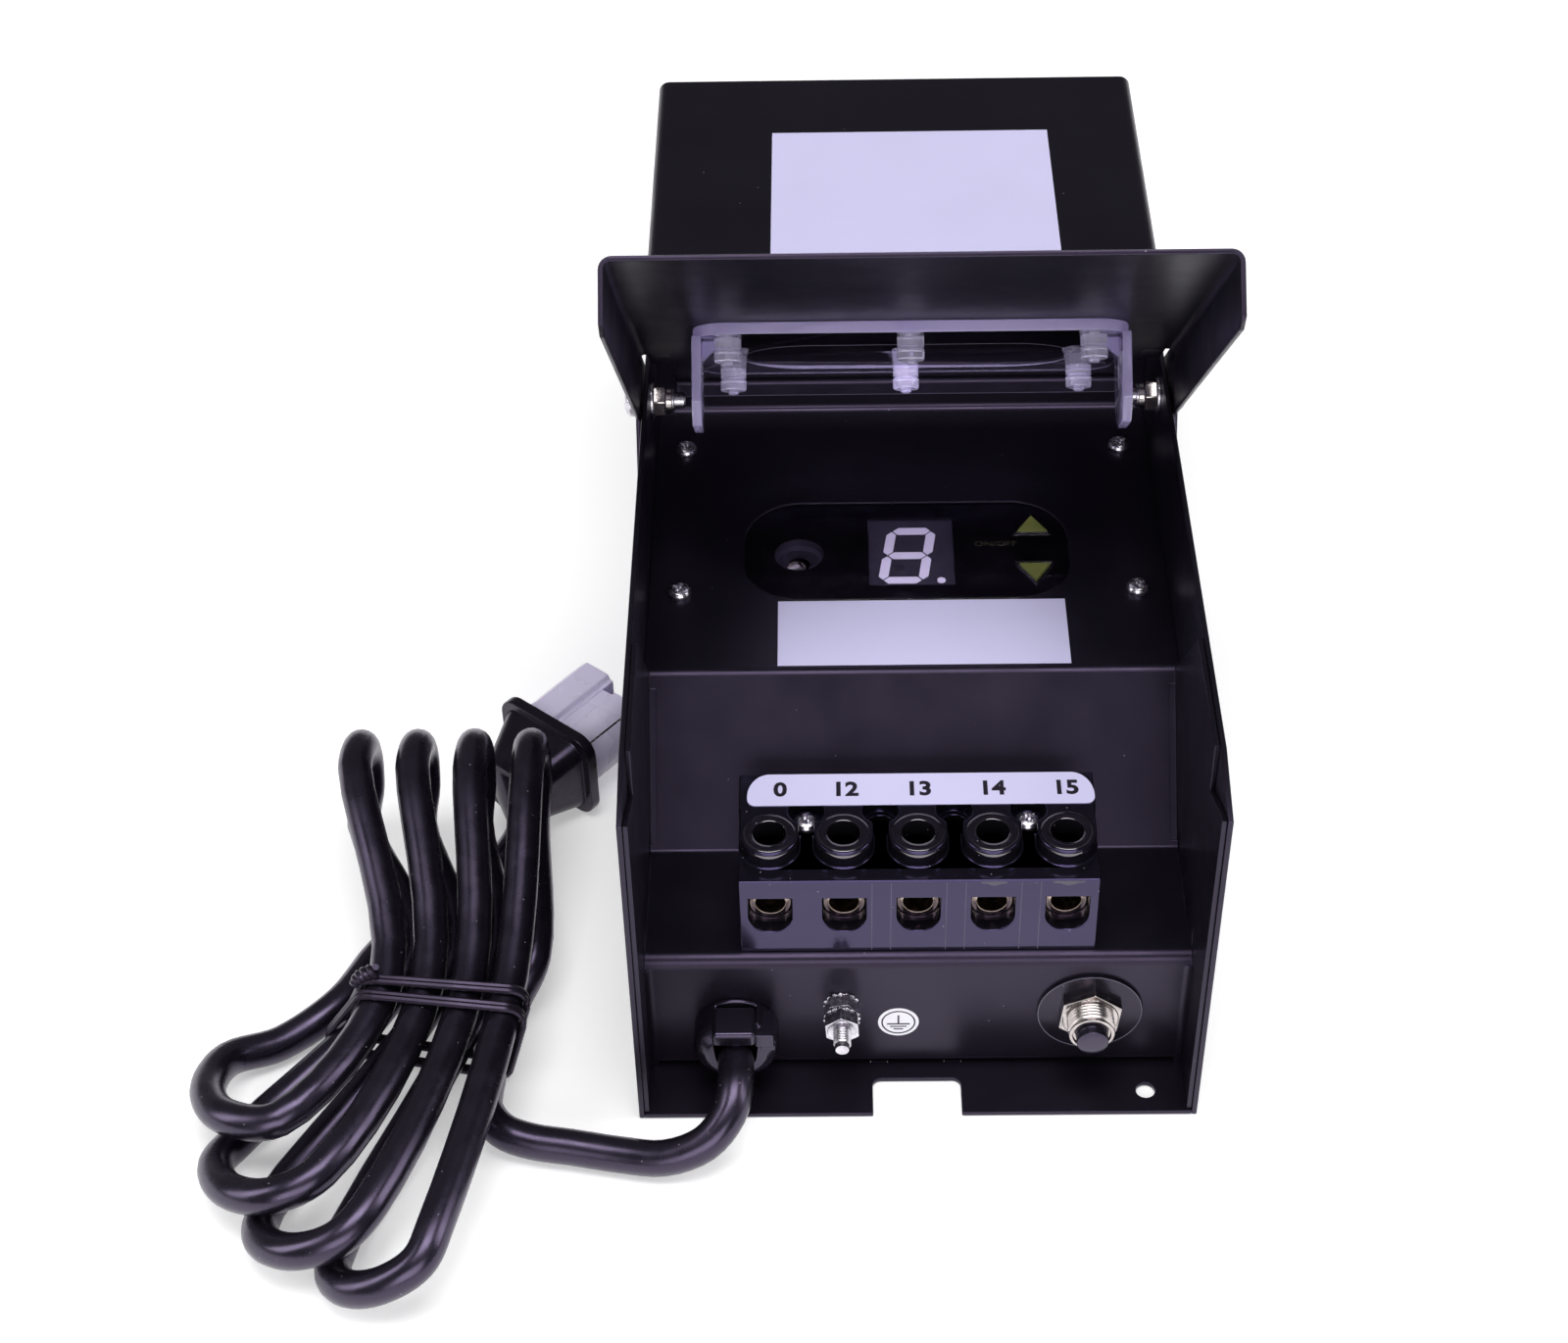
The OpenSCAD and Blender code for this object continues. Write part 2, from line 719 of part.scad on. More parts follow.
// Door, drawn closed about its hinge axis and then turned open
module on_door() {
    from_end() translate([0, hinge_y, hinge_z]) rotate([-door_angle, 0, 0]) children();
}
module door() {
    path = [[door_half, wing_low], [door_half, door_outer], [-door_half, door_outer], [-door_half, wing_low]];
    free = -door_len;
    tail_half = inner_w / 2 - tail_gap;
    wing = [[free, door_inner - bend_r], [free, wing_low + wing_chamfer / 2], [free + wing_chamfer, wing_low],
        [-ear_start, wing_low], [-ear_start + ear_r, -ear_low], [ear_end - ear_r, -ear_low],
        [ear_end, -ear_low + ear_r], [ear_end, door_inner - bend_r]];
    color([0.05, 0.05, 0.06]) on_door() difference() {
        union() {
            intersection() {
                along_y(free, -free - tail_slot) polygon(sheet_outline(path));
                union() {
                    translate([-case_w, free - cut, door_inner - bend_r]) cube([2 * case_w, door_len, wing_h]);
                    along_x(-case_w, 2 * case_w) polygon(wing);
                }
            }
            both_sides() along_x(door_half - sheet_t, sheet_t) polygon(wing);
            along_x(-tail_half, 2 * tail_half) polygon(sheet_outline([[door_tail, door_outer - tail_flange_h],
                [door_tail, door_outer], [-tail_slot - bend_out, door_outer]]));
        }
        translate([0, -oval_y, door_inner - cut]) linear_extrude(sheet_t + 2 * cut) oval(oval_w, oval_h);
        translate([-case_w, 0, 0]) rotate([0, 90, 0]) cylinder(d = hinge_d + 2 * fit, h = 2 * case_w);
    }
}
module door_window() {
    top = door_inner;
    low = top - glass_t;
    mid_y = -glass_end - glass_len / 2;
    near = -glass_end - glass_len;
    leg = [[near, top], [near, low - leg_h + leg_tip], [near + leg_tip, low - leg_h],
        [near + leg_len - leg_tip, low - leg_h], [near + leg_len, low - leg_h + leg_tip], [near + leg_len, top]];
    color([0.82, 0.8, 0.92, 0.4]) on_door() {
        translate([0, mid_y, low]) linear_extrude(glass_t) rounded_rect(glass_w, glass_len, glass_r);
        both_sides() {
            along_x(glass_w / 2 - leg_t, leg_t) polygon(leg);
            translate([0, near + leg_len / 2, 0]) rotate([90, 0, 0]) linear_extrude(leg_t)
                polygon([[glass_w / 2 - leg_t, low], [glass_w / 2 - leg_t - gusset, low],
                    [glass_w / 2 - leg_t, low - gusset]]);
        }
        for (x = [-peg_x, 0, peg_x]) for (y = [near + peg_inset, -glass_end - peg_inset]) translate([x, y, low]) {
            translate([0, 0, -peg_h]) cylinder(d = peg_d, h = peg_h + cut);
            translate([0, 0, -peg_cap_h]) cylinder(d = peg_cap_d, h = peg_cap_h + cut);
            translate([0, 0, -peg_h - peg_nub_h]) cylinder(d = peg_nub_d, h = peg_nub_h + cut);
        }
    }
}
module hinge_places() {
    from_end() both_sides() translate([0, hinge_y, hinge_z]) rotate([0, 90, 0]) children();
}
module hinge_bolts() {
    head = door_half + fit + washer_t;
    color([0.75, 0.74, 0.76]) hinge_places() {
        translate([0, 0, bolt_tip]) cylinder(d = hinge_d, h = head - bolt_tip);
        translate([0, 0, head]) difference() {
            rotate_extrude() polygon([[0, 0], [bolt_head_d / 2, 0], [bolt_head_d / 2, bolt_head_h * 0.45],
                [bolt_head_d * 0.4, bolt_head_h * 0.85], [bolt_head_d * 0.25, bolt_head_h], [0, bolt_head_h]]);
            translate([0, 0, bolt_head_h * 0.4]) for (a = [45, 135]) rotate(a)
                translate([-bolt_head_d * 0.28, -bolt_head_d / 14, 0])
                    cube([bolt_head_d * 0.56, bolt_head_d / 7, bolt_head_h]);
        }
    }
}
module washer(d, hole, t) {
    difference() {
        cylinder(d = d, h = t);
        translate([0, 0, -cut]) cylinder(d = hole, h = t + 2 * cut);
    }
}
module hinge_washers() {
    color([0.75, 0.74, 0.76]) hinge_places() {
        translate([0, 0, door_half + fit]) washer(washer_d, hinge_d + 2 * fit, washer_t);
        translate([0, 0, inner_w / 2 - washer_t]) washer(washer_d, hinge_d + 2 * fit, washer_t);
    }
}
module hinge_nuts() {
    collar = nut_af / 2 * 0.9;
    color([0.75, 0.74, 0.76]) hinge_places() translate([0, 0, inner_w / 2 - washer_t - nut_h]) difference() {
        union() {
            translate([0, 0, nut_h * 0.35]) linear_extrude(nut_h * 0.65) hexagon(nut_af);
            cylinder(r = collar, h = nut_h);
        }
        translate([0, 0, -cut]) cylinder(d = hinge_d + 2 * fit, h = nut_h + 2 * cut);
    }
}

// Terminal block, drawn from the middle of its bottom front edge
module at_block() {
    from_end() translate([0, block_y, ledge_z]) children();
}
module entry_shape() {
    r = entry_w / 2;
    translate([0, r]) circle(r);
    translate([-r, r]) square([entry_w, entry_h - r]);
}
module terminal_block() {
    top = block_h + tower_h;
    color([0.03, 0.03, 0.04]) at_block() difference() {
        union() {
            translate([-block_w / 2, 0, 0]) cube([block_w, block_len, block_h]);
            translate([-block_w / 2, block_len - rail_len, 0]) cube([block_w, rail_len, top]);
            pole_places() translate([0, pole_y, 0]) {
                cylinder(d = tower_d, h = top);
                translate([-tower_d / 2, 0, 0]) cube([tower_d, block_len - pole_y, top]);
            }
        }
        pole_places() {
            translate([0, entry_depth, entry_z]) rotate([90, 0, 0]) linear_extrude(entry_depth + cut) entry_shape();
            translate([0, pole_y, entry_z + entry_w / 2]) cylinder(d = tower_hole_d, h = block_h + tower_h);
        }
        for (i = [-1.5, -0.5, 0.5, 1.5]) translate([i * terminal_pitch, mount_screw_y, 0]) {
            translate([0, 0, block_h]) cylinder(d = pocket_d, h = top);
            translate([0, 0, block_h - (abs(i) < 1 ? pocket_h : 0)]) cylinder(d = screw_head_d, h = top);
        }
        for (i = [-1.5, 1.5]) translate([i * terminal_pitch, mount_screw_y, -cut])
            cylinder(d = screw_d + 2 * fit, h = top);
    }
}
module terminal_barrels() {
    r = entry_w / 2 - fit;
    color([0.72, 0.66, 0.58]) at_block() pole_places() difference() {
        translate([0, barrel_in + barrel_len, entry_z + entry_w / 2]) rotate([90, 0, 0])
            cylinder(r = r, h = barrel_len);
        translate([0, barrel_in + barrel_len + cut, entry_z + entry_w / 2]) rotate([90, 0, 0])
            cylinder(r = r - barrel_wall, h = barrel_len + 2 * cut);
        translate([0, pole_y, entry_z + entry_w / 2]) cylinder(d = clamp_d + 2 * fit, h = entry_w);
    }
}
module terminal_screws() {
    low = entry_z + entry_w / 2 + entry_w / 4;
    color([0.72, 0.66, 0.58]) at_block() pole_places() translate([0, pole_y, low]) difference() {
        cylinder(d = clamp_d, h = clamp_len);
        translate([-clamp_d, -slot_w / 2, clamp_len - slot_h]) cube([2 * clamp_d, slot_w, slot_h + cut]);
    }
}
module block_screws() {
    color([0.75, 0.74, 0.76]) at_block() for (i = [-1.5, 1.5])
        translate([i * terminal_pitch, mount_screw_y, block_h]) rotate(20)
            pan_screw(screw_d, block_h + sheet_t * 3, screw_head_d, screw_head_h);
}
module terminal_strip() {
    color([0.83, 0.8, 0.95]) at_block()
        translate([0, block_len - rail_len / 2, block_h + tower_h]) linear_extrude(strip_t) oval(strip_w, strip_h);
}

// Pieces on the bottom face, with Z pointing out of it
module on_face(x, z) {
    from_end() translate([x, face_y, z]) rotate([90, 0, 0]) children();
}
module cord_hole() {
    translate([0, 0, -relief_shank - sheet_t - cut]) cylinder(d = cord_d + 2 * fit, h = relief_head * 4);
}
module wedge_shape(grow) {
    w = relief_wedge_w / 2 + grow;
    translate([-w, cord_d / 2 - grow]) square([2 * w, relief_d]);
}
module relief_solid() {
    r = relief_d / 2;
    rotate_extrude() polygon([[0, 0], [r, 0], [r, relief_head - 2 * relief_edge],
        [r - relief_edge / 2, relief_head - relief_edge], [r - 2 * relief_edge, relief_head], [0, relief_head]]);
}
module strain_relief() {
    color([0.03, 0.03, 0.03]) on_face(relief_x, relief_z) difference() {
        union() {
            relief_solid();
            translate([0, 0, -relief_shank - sheet_t]) cylinder(d = relief_shank_d, h = relief_shank + sheet_t + cut);
        }
        cord_hole();
        translate([0, 0, sheet_t]) linear_extrude(relief_head) wedge_shape(fit);
    }
}
module relief_wedge() {
    color([0.05, 0.05, 0.05]) on_face(relief_x, relief_z) difference() {
        intersection() {
            translate([0, 0, sheet_t]) linear_extrude(relief_head - sheet_t - relief_edge) wedge_shape(0);
            relief_solid();
        }
        cord_hole();
    }
}
module ground_stud() {
    color([0.75, 0.74, 0.76]) on_face(stud_x, stud_z) {
        translate([0, 0, -sheet_t - stud_head_h]) cylinder(d = stud_head_d, h = stud_head_h);
        translate([0, 0, -sheet_t - stud_head_h / 2])
            cylinder(d = stud_d, h = stud_len - stud_d / 8 + sheet_t + stud_head_h / 2);
        translate([0, 0, stud_len - stud_d / 8]) cylinder(d1 = stud_d, d2 = stud_d * 0.75, h = stud_d / 8);
    }
}
module stacked_nuts() {
    for (i = [0, 1]) translate([0, 0, i * (keps_h + keps_washer_t)]) children();
}
module ground_nuts() {
    color([0.75, 0.74, 0.76]) on_face(stud_x, stud_z) stacked_nuts() translate([0, 0, keps_washer_t]) difference() {
        linear_extrude(keps_h) rotate(10) hexagon(nut_af);
        translate([0, 0, -cut]) cylinder(d = stud_d + 2 * fit, h = keps_h + 2 * cut);
    }
}
module ground_washers() {
    r = keps_washer_d / 2;
    color([0.75, 0.74, 0.76]) on_face(stud_x, stud_z) stacked_nuts() difference() {
        cylinder(r = r, h = keps_washer_t);
        translate([0, 0, -cut]) cylinder(d = stud_d + 2 * fit, h = keps_washer_t + 2 * cut);
        for (k = [0:keps_teeth - 1]) rotate(360 * (k + 0.5) / keps_teeth)
            translate([r - keps_tooth, -keps_tooth / 2, -cut])
                cube([2 * keps_tooth, keps_tooth, keps_washer_t + 2 * cut]);
    }
}
module ground_label() {
    color([0.95, 0.95, 0.97]) on_face(ground_mark_x, ground_mark_z) cylinder(d = ground_mark_d, h = label_t);
}
module breaker_body() {
    color([0.6, 0.58, 0.6]) on_face(breaker_x, breaker_z) difference() {
        union() {
            translate([-breaker_w / 2, -breaker_h / 2, -sheet_t - breaker_len])
                cube([breaker_w, breaker_h, breaker_len]);
            translate([0, 0, -sheet_t - cut]) cylinder(d = neck_d, h = neck_len + sheet_t + cut);
        }
        translate([0, 0, neck_len - button_len + button_out - cut - play])
            cylinder(d = button_d + 2 * fit, h = button_len + cut + play);
    }
}
module breaker_ring() {
    color([0.05, 0.05, 0.06]) on_face(breaker_x, breaker_z) washer(ring_d, neck_d + 2 * fit, ring_t);
}
module breaker_nut() {
    color([0.78, 0.76, 0.78]) on_face(breaker_x, breaker_z) translate([0, 0, ring_t]) difference() {
        intersection() {
            linear_extrude(neck_nut_h) rotate(30) hexagon(neck_nut_af);
            cylinder(r1 = neck_nut_af * 0.62, r2 = neck_nut_af / 2, h = neck_nut_h);
        }
        translate([0, 0, -cut]) cylinder(d = neck_d + 2 * fit, h = neck_nut_h + 2 * cut);
    }
}
module reset_button() {
    color([0.04, 0.04, 0.05]) on_face(breaker_x, breaker_z)
        translate([0, 0, neck_len + button_out - button_len]) cylinder(d = button_d, h = button_len);
}

// Transformer: an iron core with one winding above the other round its middle leg
function core_bolt_y() = core_unit * 2.5 - core_unit / 2;
module core_corners() {
    for (x = [-1, 1]) for (y = [-1, 1])
        translate([x * (core_w - core_unit) / 2, core_y + y * core_bolt_y(), 0]) children();
}
module iron_core() {
    color([0.35, 0.36, 0.4]) from_end() difference() {
        translate([-core_w / 2, core_y - core_unit * 2.5, core_z]) cube([core_w, core_unit * 5, core_t]);
        for (x = [-2, 1]) translate([x * core_unit, core_y - core_unit * 1.5, core_z - cut])
            cube([core_unit, core_unit * 3, core_t + 2 * cut]);
        core_corners() translate([0, 0, core_z - cut]) cylinder(d = core_bolt_d + 2 * fit, h = core_t + 2 * cut);
    }
}
// A ring round the middle leg: grow is its wall, from and size its place along the leg
module leg_ring(inside, wall, from, size) {
    w = core_unit * 2 + 2 * inside;
    h = core_t + 2 * inside;
    from_end() translate([0, 0, core_z + core_t / 2]) along_y(core_y + from, size) difference() {
        rounded_rect(w + 2 * wall, h + 2 * wall, wall * 0.6);
        square([w, h], center = true);
    }
}
module coil_bobbin() {
    span = core_unit * 3 - 2 * coil_gap;
    color([0.15, 0.15, 0.17]) {
        leg_ring(coil_gap, flange_t, -span / 2, span);
        for (y = [-span / 2, -flange_t / 2, span / 2 - flange_t]) leg_ring(coil_gap, coil_wall, y, flange_t);
    }
}
module winding(from) {
    span = core_unit * 3 - 2 * coil_gap;
    size = (span - 3 * flange_t) / 2 - 2 * fit;
    leg_ring(coil_gap + flange_t + fit, coil_wall - flange_t - 4 * fit, from + fit, size);
}
module primary_winding() {
    color([0.72, 0.42, 0.2]) winding(flange_t / 2);
}
module secondary_winding() {
    color([0.78, 0.5, 0.25]) winding(-core_unit * 1.5 + coil_gap + flange_t);
}
module core_bolts() {
    color([0.75, 0.74, 0.76]) from_end() core_corners() {
        translate([0, 0, fit]) cylinder(d = core_bolt_d, h = core_z + core_t - fit);
        translate([0, 0, core_z + core_t]) linear_extrude(core_bolt_head_h) hexagon(core_bolt_head_d);
    }
}
module core_spacers() {
    color([0.7, 0.7, 0.7]) from_end() core_corners() translate([0, 0, sheet_t])
        washer(spacer_d, core_bolt_d + 2 * fit, core_z - sheet_t);
}
module power_relay() {
    color([0.12, 0.2, 0.45]) from_end() translate([-relay_w / 2, relay_y - relay_len / 2, sheet_t])
        cube([relay_w, relay_len, relay_h]);
}

// Tubes: a curve through the route, and one skin swept along it
function curve_at(a, b, c, d, t) = 0.5 * (2 * b + (c - a) * t + (2 * a - 5 * b + 4 * c - d) * t * t
    + (3 * b - a - 3 * c + d) * t * t * t);
function on_table(p) = [p[0], p[1], max(p[2], cord_low)];
function smooth_route(p, steps) = let(n = len(p)) concat(
    [for (i = [0:n - 2]) for (k = [0:steps - 1])
        on_table(curve_at(p[max(i - 1, 0)], p[i], p[i + 1], p[min(i + 2, n - 1)], k / steps))],
    [on_table(p[n - 1])]);
function heading(p, i) = unit(p[min(i + 1, len(p) - 1)] - p[max(i - 1, 0)]);
function ring_at(p, i, r, sides) = let(d = heading(p, i), s = unit(cross(d, [0, 0, 1])), u = cross(s, d))
    [for (k = [0:sides - 1]) let(a = 360 * (k + 0.5) / sides) p[i] + r * (s * cos(a) + u * sin(a))];
module tube(p, r, sides) {
    n = len(p);
    side_faces = [for (i = [0:n - 2]) for (k = [0:sides - 1]) let(m = (k + 1) % sides)
        each [[i * sides + k, i * sides + m, (i + 1) * sides + k],
            [i * sides + m, (i + 1) * sides + m, (i + 1) * sides + k]]];
    first = [for (k = [1:sides - 2]) [0, k + 1, k]];
    last = [for (k = [1:sides - 2]) [(n - 1) * sides, (n - 1) * sides + k, (n - 1) * sides + k + 1]];
    polyhedron([for (i = [0:n - 1]) each ring_at(p, i, r, sides)], concat(side_faces, first, last));
}
function slot_x(i) = waist_x + slot_pitch * i;
function fan_dir(i) = let(a = fan_from + fan_turn * pow(i / (hank_loops - 1), fan_power)) [cos(a), sin(a)];
function bow(i) = bow_first - bow_step * i;
// Eight points of one loop: up the lower run, over the crown, down the upper run and round the bow
function loop_points(i) =
    let(u = fan_dir(i), n = left_of(u) * bow(i), c = [fan_x, fan_y] + u * (reach_first + reach_step * i),
        x = crown_mid_x + (i - (hank_loops - 1) / 2) * crown_pitch, mid = cord_low + layer_h, apex = c + u * bow(i))
    [[slot_x(i) + slot_pitch * slot_offset_share, waist_y + low_rise, mid + cord_d / 8],
        [x, crown_y - crown_len, mid + crown_low], [x, crown_y, mid + crown_mid],
        [x, crown_y - crown_len, mid + crown_high], [slot_x(i), waist_y, mid + layer_h],
        [c[0] + n[0], c[1] + n[1], cord_low + bow_rise], [apex[0], apex[1], cord_low + bow_rise / 2],
        [c[0] - n[0], c[1] - n[1], cord_low]];
hank_route = concat(hank_in, [for (j = [1:hank_loops]) each loop_points(hank_loops - j)], hank_out);
hank_path = smooth_route(hank_route, hank_steps);
function mid_of(p, i) = (p[i] + p[i + 1]) / 2;
function near_gap(p, i, j) = min(norm(p[i] - p[j]), norm(mid_of(p, i) - p[j]), norm(p[i] - mid_of(p, j)),
    norm(mid_of(p, i) - mid_of(p, j))) - cord_d;
hank_gap = min([for (i = [0:len(hank_path) - 8]) for (j = [i + 6:len(hank_path) - 2]) near_gap(hank_path, i, j)]);
echo(hank_least_gap = hank_gap);
module cord_lead() {
    color([0.06, 0.06, 0.07]) from_end() tube(smooth_route(lead_route, 1), cord_d / 2, 8);
}
module cord_hank() {
    color([0.06, 0.06, 0.07]) from_end() tube(hank_path, cord_d / 2, 6);
}
module cord_tail() {
    color([0.06, 0.06, 0.07]) from_end() tube(smooth_route(tail_route, 2), cord_d / 2, 8);
}

// Plug, with X along its axis from the back of its flange and Y towards the ground pin
module at_plug() {
    from_end() translate(plug_at) rotate(plug_turn) children();
}
module plug_slice(x, w, h, r, y) {
    translate([x, y, 0]) rotate([90, 0, 90]) linear_extrude(fit) rounded_rect(w, h, r);
}
module plug_body() {
    tail_at = unit(tail_route[3] - tail_route[2]);
    color([0.04, 0.04, 0.05]) {
        at_plug() {
            translate([-plug_flange, plug_offset, 0]) rotate([90, 0, 90]) linear_extrude(plug_flange)
                rounded_rect(plug_w, plug_t, plug_t / 5);
            hull($fn = 24) {
                plug_slice(-plug_flange - fit, plug_w * 0.86, plug_t * 0.86, plug_t / 6, plug_offset);
                plug_slice(-plug_flange - plug_len, plug_back_w, plug_back_t, plug_back_t / 3, 0);
            }
        }
        from_end() hull($fn = 24) {
            translate(tail_route[3]) rotate([0, 90 - atan2(tail_at[2], norm([tail_at[0], tail_at[1]])),
                atan2(tail_at[1], tail_at[0])]) cylinder(d = plug_tail_d, h = fit);
            translate(plug_at) rotate(plug_turn)
                plug_slice(-plug_flange - plug_len + fit, plug_back_w * 0.8, plug_back_t * 0.8, plug_back_t / 3, 0);
        }
    }
}
module plug_blades() {
    color([0.8, 0.78, 0.75]) at_plug() {
        for (z = [-1, 1]) translate([0, blade_side - blade_w / 2, z * blade_pitch / 2 - blade_t / 2])
            cube([blade_len, blade_w, blade_t]);
        translate([0, pin_side, 0]) rotate([0, 90, 0]) cylinder(d = pin_d, h = pin_len - pin_d / 4);
        translate([pin_len - pin_d / 4, pin_side, 0]) rotate([0, 90, 0])
            cylinder(d1 = pin_d, d2 = pin_d / 2, h = pin_d / 4);
    }
}
module plug_cap() {
    steps = [[0, cap_low], [cap_short, cap_low], [cap_short, cap_mid], [cap_long, cap_mid],
        [cap_long, cap_high], [0, cap_high]];
    w = cap_wall;
    hollow = [[-w, cap_low + w], [cap_short - w, cap_low + w], [cap_short - w, cap_mid + w],
        [cap_long - w, cap_mid + w], [cap_long - w, cap_high - w], [-w, cap_high - w]];
    color([0.85, 0.83, 0.95, 0.5]) at_plug() difference() {
        translate([0, 0, -cap_t / 2]) linear_extrude(cap_t) polygon(steps);
        translate([0, 0, -cap_t / 2 + w]) linear_extrude(cap_t - 2 * w) polygon(hollow);
    }
}
module tie_outline(row, grow) {
    hull() for (p = row) translate(p) circle(cord_d / 2 + grow, $fn = 20);
}
module twist_tie() {
    color([0.1, 0.09, 0.12]) from_end() for (i = [0, 1]) along_y(tie_y[i], tie_w) difference() {
        tie_outline(tie_rows[i], play + tie_t);
        tie_outline(tie_rows[i], play);
    }
}

outer_cover();
back_panel();
front_panel();
panel_brackets();
panel_screws();
control_lens();
lens_mask();
control_housing();
control_board();
key_switches();
digit_display();
digit_segments();
photocell();
up_key();
down_key();
guide_label();
rating_label();
door();
door_window();
hinge_bolts();
hinge_washers();
hinge_nuts();
terminal_block();
terminal_barrels();
terminal_screws();
block_screws();
terminal_strip();
strain_relief();
relief_wedge();
ground_stud();
ground_nuts();
ground_washers();
ground_label();
breaker_body();
breaker_ring();
breaker_nut();
reset_button();
iron_core();
primary_winding();
secondary_winding();
coil_bobbin();
core_bolts();
core_spacers();
power_relay();
cord_lead();
cord_hank();
cord_tail();
plug_body();
plug_blades();
plug_cap();
twist_tie();
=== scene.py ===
"""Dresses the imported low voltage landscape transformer, which lies on its back with its door open.

Every piece is built in metres in the model's own frame: X across the case, Y towards its top end and
Z out of its front. Places are written in millimetres, with Y counted from the case's bottom end.
"""

import json
from math import cos, pi, radians, sin

import bmesh
import bpy
from mathutils import Matrix, Vector


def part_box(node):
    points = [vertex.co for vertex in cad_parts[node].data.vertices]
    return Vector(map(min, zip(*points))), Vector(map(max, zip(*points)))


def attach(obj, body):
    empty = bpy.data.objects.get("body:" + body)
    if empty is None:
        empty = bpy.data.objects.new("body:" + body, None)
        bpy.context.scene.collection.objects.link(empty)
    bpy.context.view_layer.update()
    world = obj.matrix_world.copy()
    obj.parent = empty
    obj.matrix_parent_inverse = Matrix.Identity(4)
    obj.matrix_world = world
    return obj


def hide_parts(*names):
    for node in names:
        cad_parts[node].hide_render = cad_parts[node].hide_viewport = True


bl_info = {
    "name": "Landscape Transformer Dresser",
    "version": (1, 0, 0),
    "blender": (4, 5, 0),
    "location": "View3D > Sidebar > Transformer",
    "description": "Finishes and details for a low voltage landscape transformer",
    "category": "Object",
}

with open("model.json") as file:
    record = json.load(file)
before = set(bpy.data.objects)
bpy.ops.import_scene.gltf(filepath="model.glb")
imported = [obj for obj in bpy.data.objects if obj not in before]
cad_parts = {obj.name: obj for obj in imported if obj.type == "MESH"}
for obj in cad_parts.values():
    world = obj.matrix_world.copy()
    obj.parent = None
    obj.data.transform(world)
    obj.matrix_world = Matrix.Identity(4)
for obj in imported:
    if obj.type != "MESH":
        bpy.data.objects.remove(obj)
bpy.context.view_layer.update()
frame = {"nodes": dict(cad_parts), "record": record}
MM = 0.001
BOTTOM_END = -132.0  # Y of the case's bottom end in the model's frame
HINGE = (149.0, 92.0)  # Y and Z of the hinge's axis
DOOR_ANGLE = 46.0  # degrees from closed
BOTTOM_FACE = 14.4  # Y of the face that the cord enters
RELIEF = (-41.1, 15.2)  # X and Z of the cord where it enters
PITCH = 16.4  # from one terminal to the next
FACING = Matrix.Rotation(pi / 2, 4, "X")  # local Z points towards the bottom end
SIDEWAYS = Matrix(((0, 0, 1, 0), (1, 0, 0, 0), (0, 1, 0, 0), (0, 0, 0, 1)))  # X, Y and Z become Y, Z and X
SOFT_TINT = (0.74, 0.58, 1.0, 1.0)  # of the highlights on the powder coat


# ---- sizes and colours a user may change


def colour_property(name, description, default):
    return bpy.props.FloatVectorProperty(
        name=name, description=description, subtype="COLOR", size=3, default=default, min=0.0, max=1.0)


def amount_property(name, description, default, low=0.0, high=1.0, subtype="FACTOR", unit="NONE"):
    return bpy.props.FloatProperty(name=name, description=description, default=default, min=low, max=high,
                                   subtype=subtype, unit=unit)


def length_property(name, description, default, low, high):
    return amount_property(name, description, default, low, high, "DISTANCE", "LENGTH")


class CaseFinish(bpy.types.PropertyGroup):
    """Finish of the sheet metal."""

    coat: colour_property("Coat", "Colour of the powder coat", (0.0042, 0.0038, 0.0056))
    gloss: amount_property("Roughness", "Roughness of the powder coat", 0.34)
    edge: length_property("Edge radius", "Rounding of the cut edges of the sheet", 0.00025, 0.0, 0.0005)


class MetalFinish(bpy.types.PropertyGroup):
    """Finish of the screws, nuts and fittings."""

    zinc: colour_property("Zinc", "Colour of the zinc plating", (0.66, 0.63, 0.69))
    nickel: colour_property("Nickel", "Colour of the nickel plating", (0.58, 0.53, 0.52))
    brass: colour_property("Clamp metal", "Colour of the metal inside the terminals", (0.74, 0.6, 0.5))


class PlasticFinish(bpy.types.PropertyGroup):
    """Finish of the plastic, the film and the printed layers."""

    black: colour_property("Black plastic", "Colour of the black mouldings", (0.006, 0.0054, 0.0078))
    film: colour_property("Label film", "Colour of the label film", (0.68, 0.65, 0.92))
    olive: colour_property("Key print", "Colour of the keys", (0.17, 0.185, 0.05))
    clear: colour_property("Clear plastic", "Tint of the clear mouldings", (0.9, 0.87, 1.0))


class CordFinish(bpy.types.PropertyGroup):
    """Size and finish of the supply cord."""

    diameter: length_property("Cord diameter", "Outside diameter of the cord", 0.0082, 0.005, 0.012)
    length: length_property("Cord length", "Length of the cord from the strain relief to the plug", 1.4,
                            0.5, 3.0)
    jacket: colour_property("Jacket", "Colour of the cord's jacket", (0.0052, 0.0046, 0.0066))


class StageLight(bpy.types.PropertyGroup):
    """Light and floor of the stage."""

    floor: colour_property("Floor", "Colour of the floor", (0.9, 0.9, 0.9))
    power: amount_property("Lamp power", "Power of the main soft lamp", 13.0, 0.0, 100.0, "NONE", "POWER")
    sky: amount_property("Surroundings", "Strength of the light from all round", 0.12)


# ---- places


def at(x, y, z):
    """A point in the model's frame, from millimetres with Y counted from the bottom end."""
    return Vector((x * MM, (y + BOTTOM_END) * MM, z * MM))


def placed(x, y, z, turn=Matrix.Identity(4)):
    """Millimetres at a place, turned first."""
    return Matrix.Translation(at(x, y, z)) @ turn @ Matrix.Scale(MM, 4)


def on_bottom_face(x, z):
    """Local Z points out of the bottom face."""
    return placed(x, BOTTOM_FACE, z, FACING)


def on_door():
    """Local axes of the closed door, with the hinge axis as origin."""
    return placed(0, HINGE[0], HINGE[1], Matrix.Rotation(-radians(DOOR_ANGLE), 4, "X"))


# ---- materials


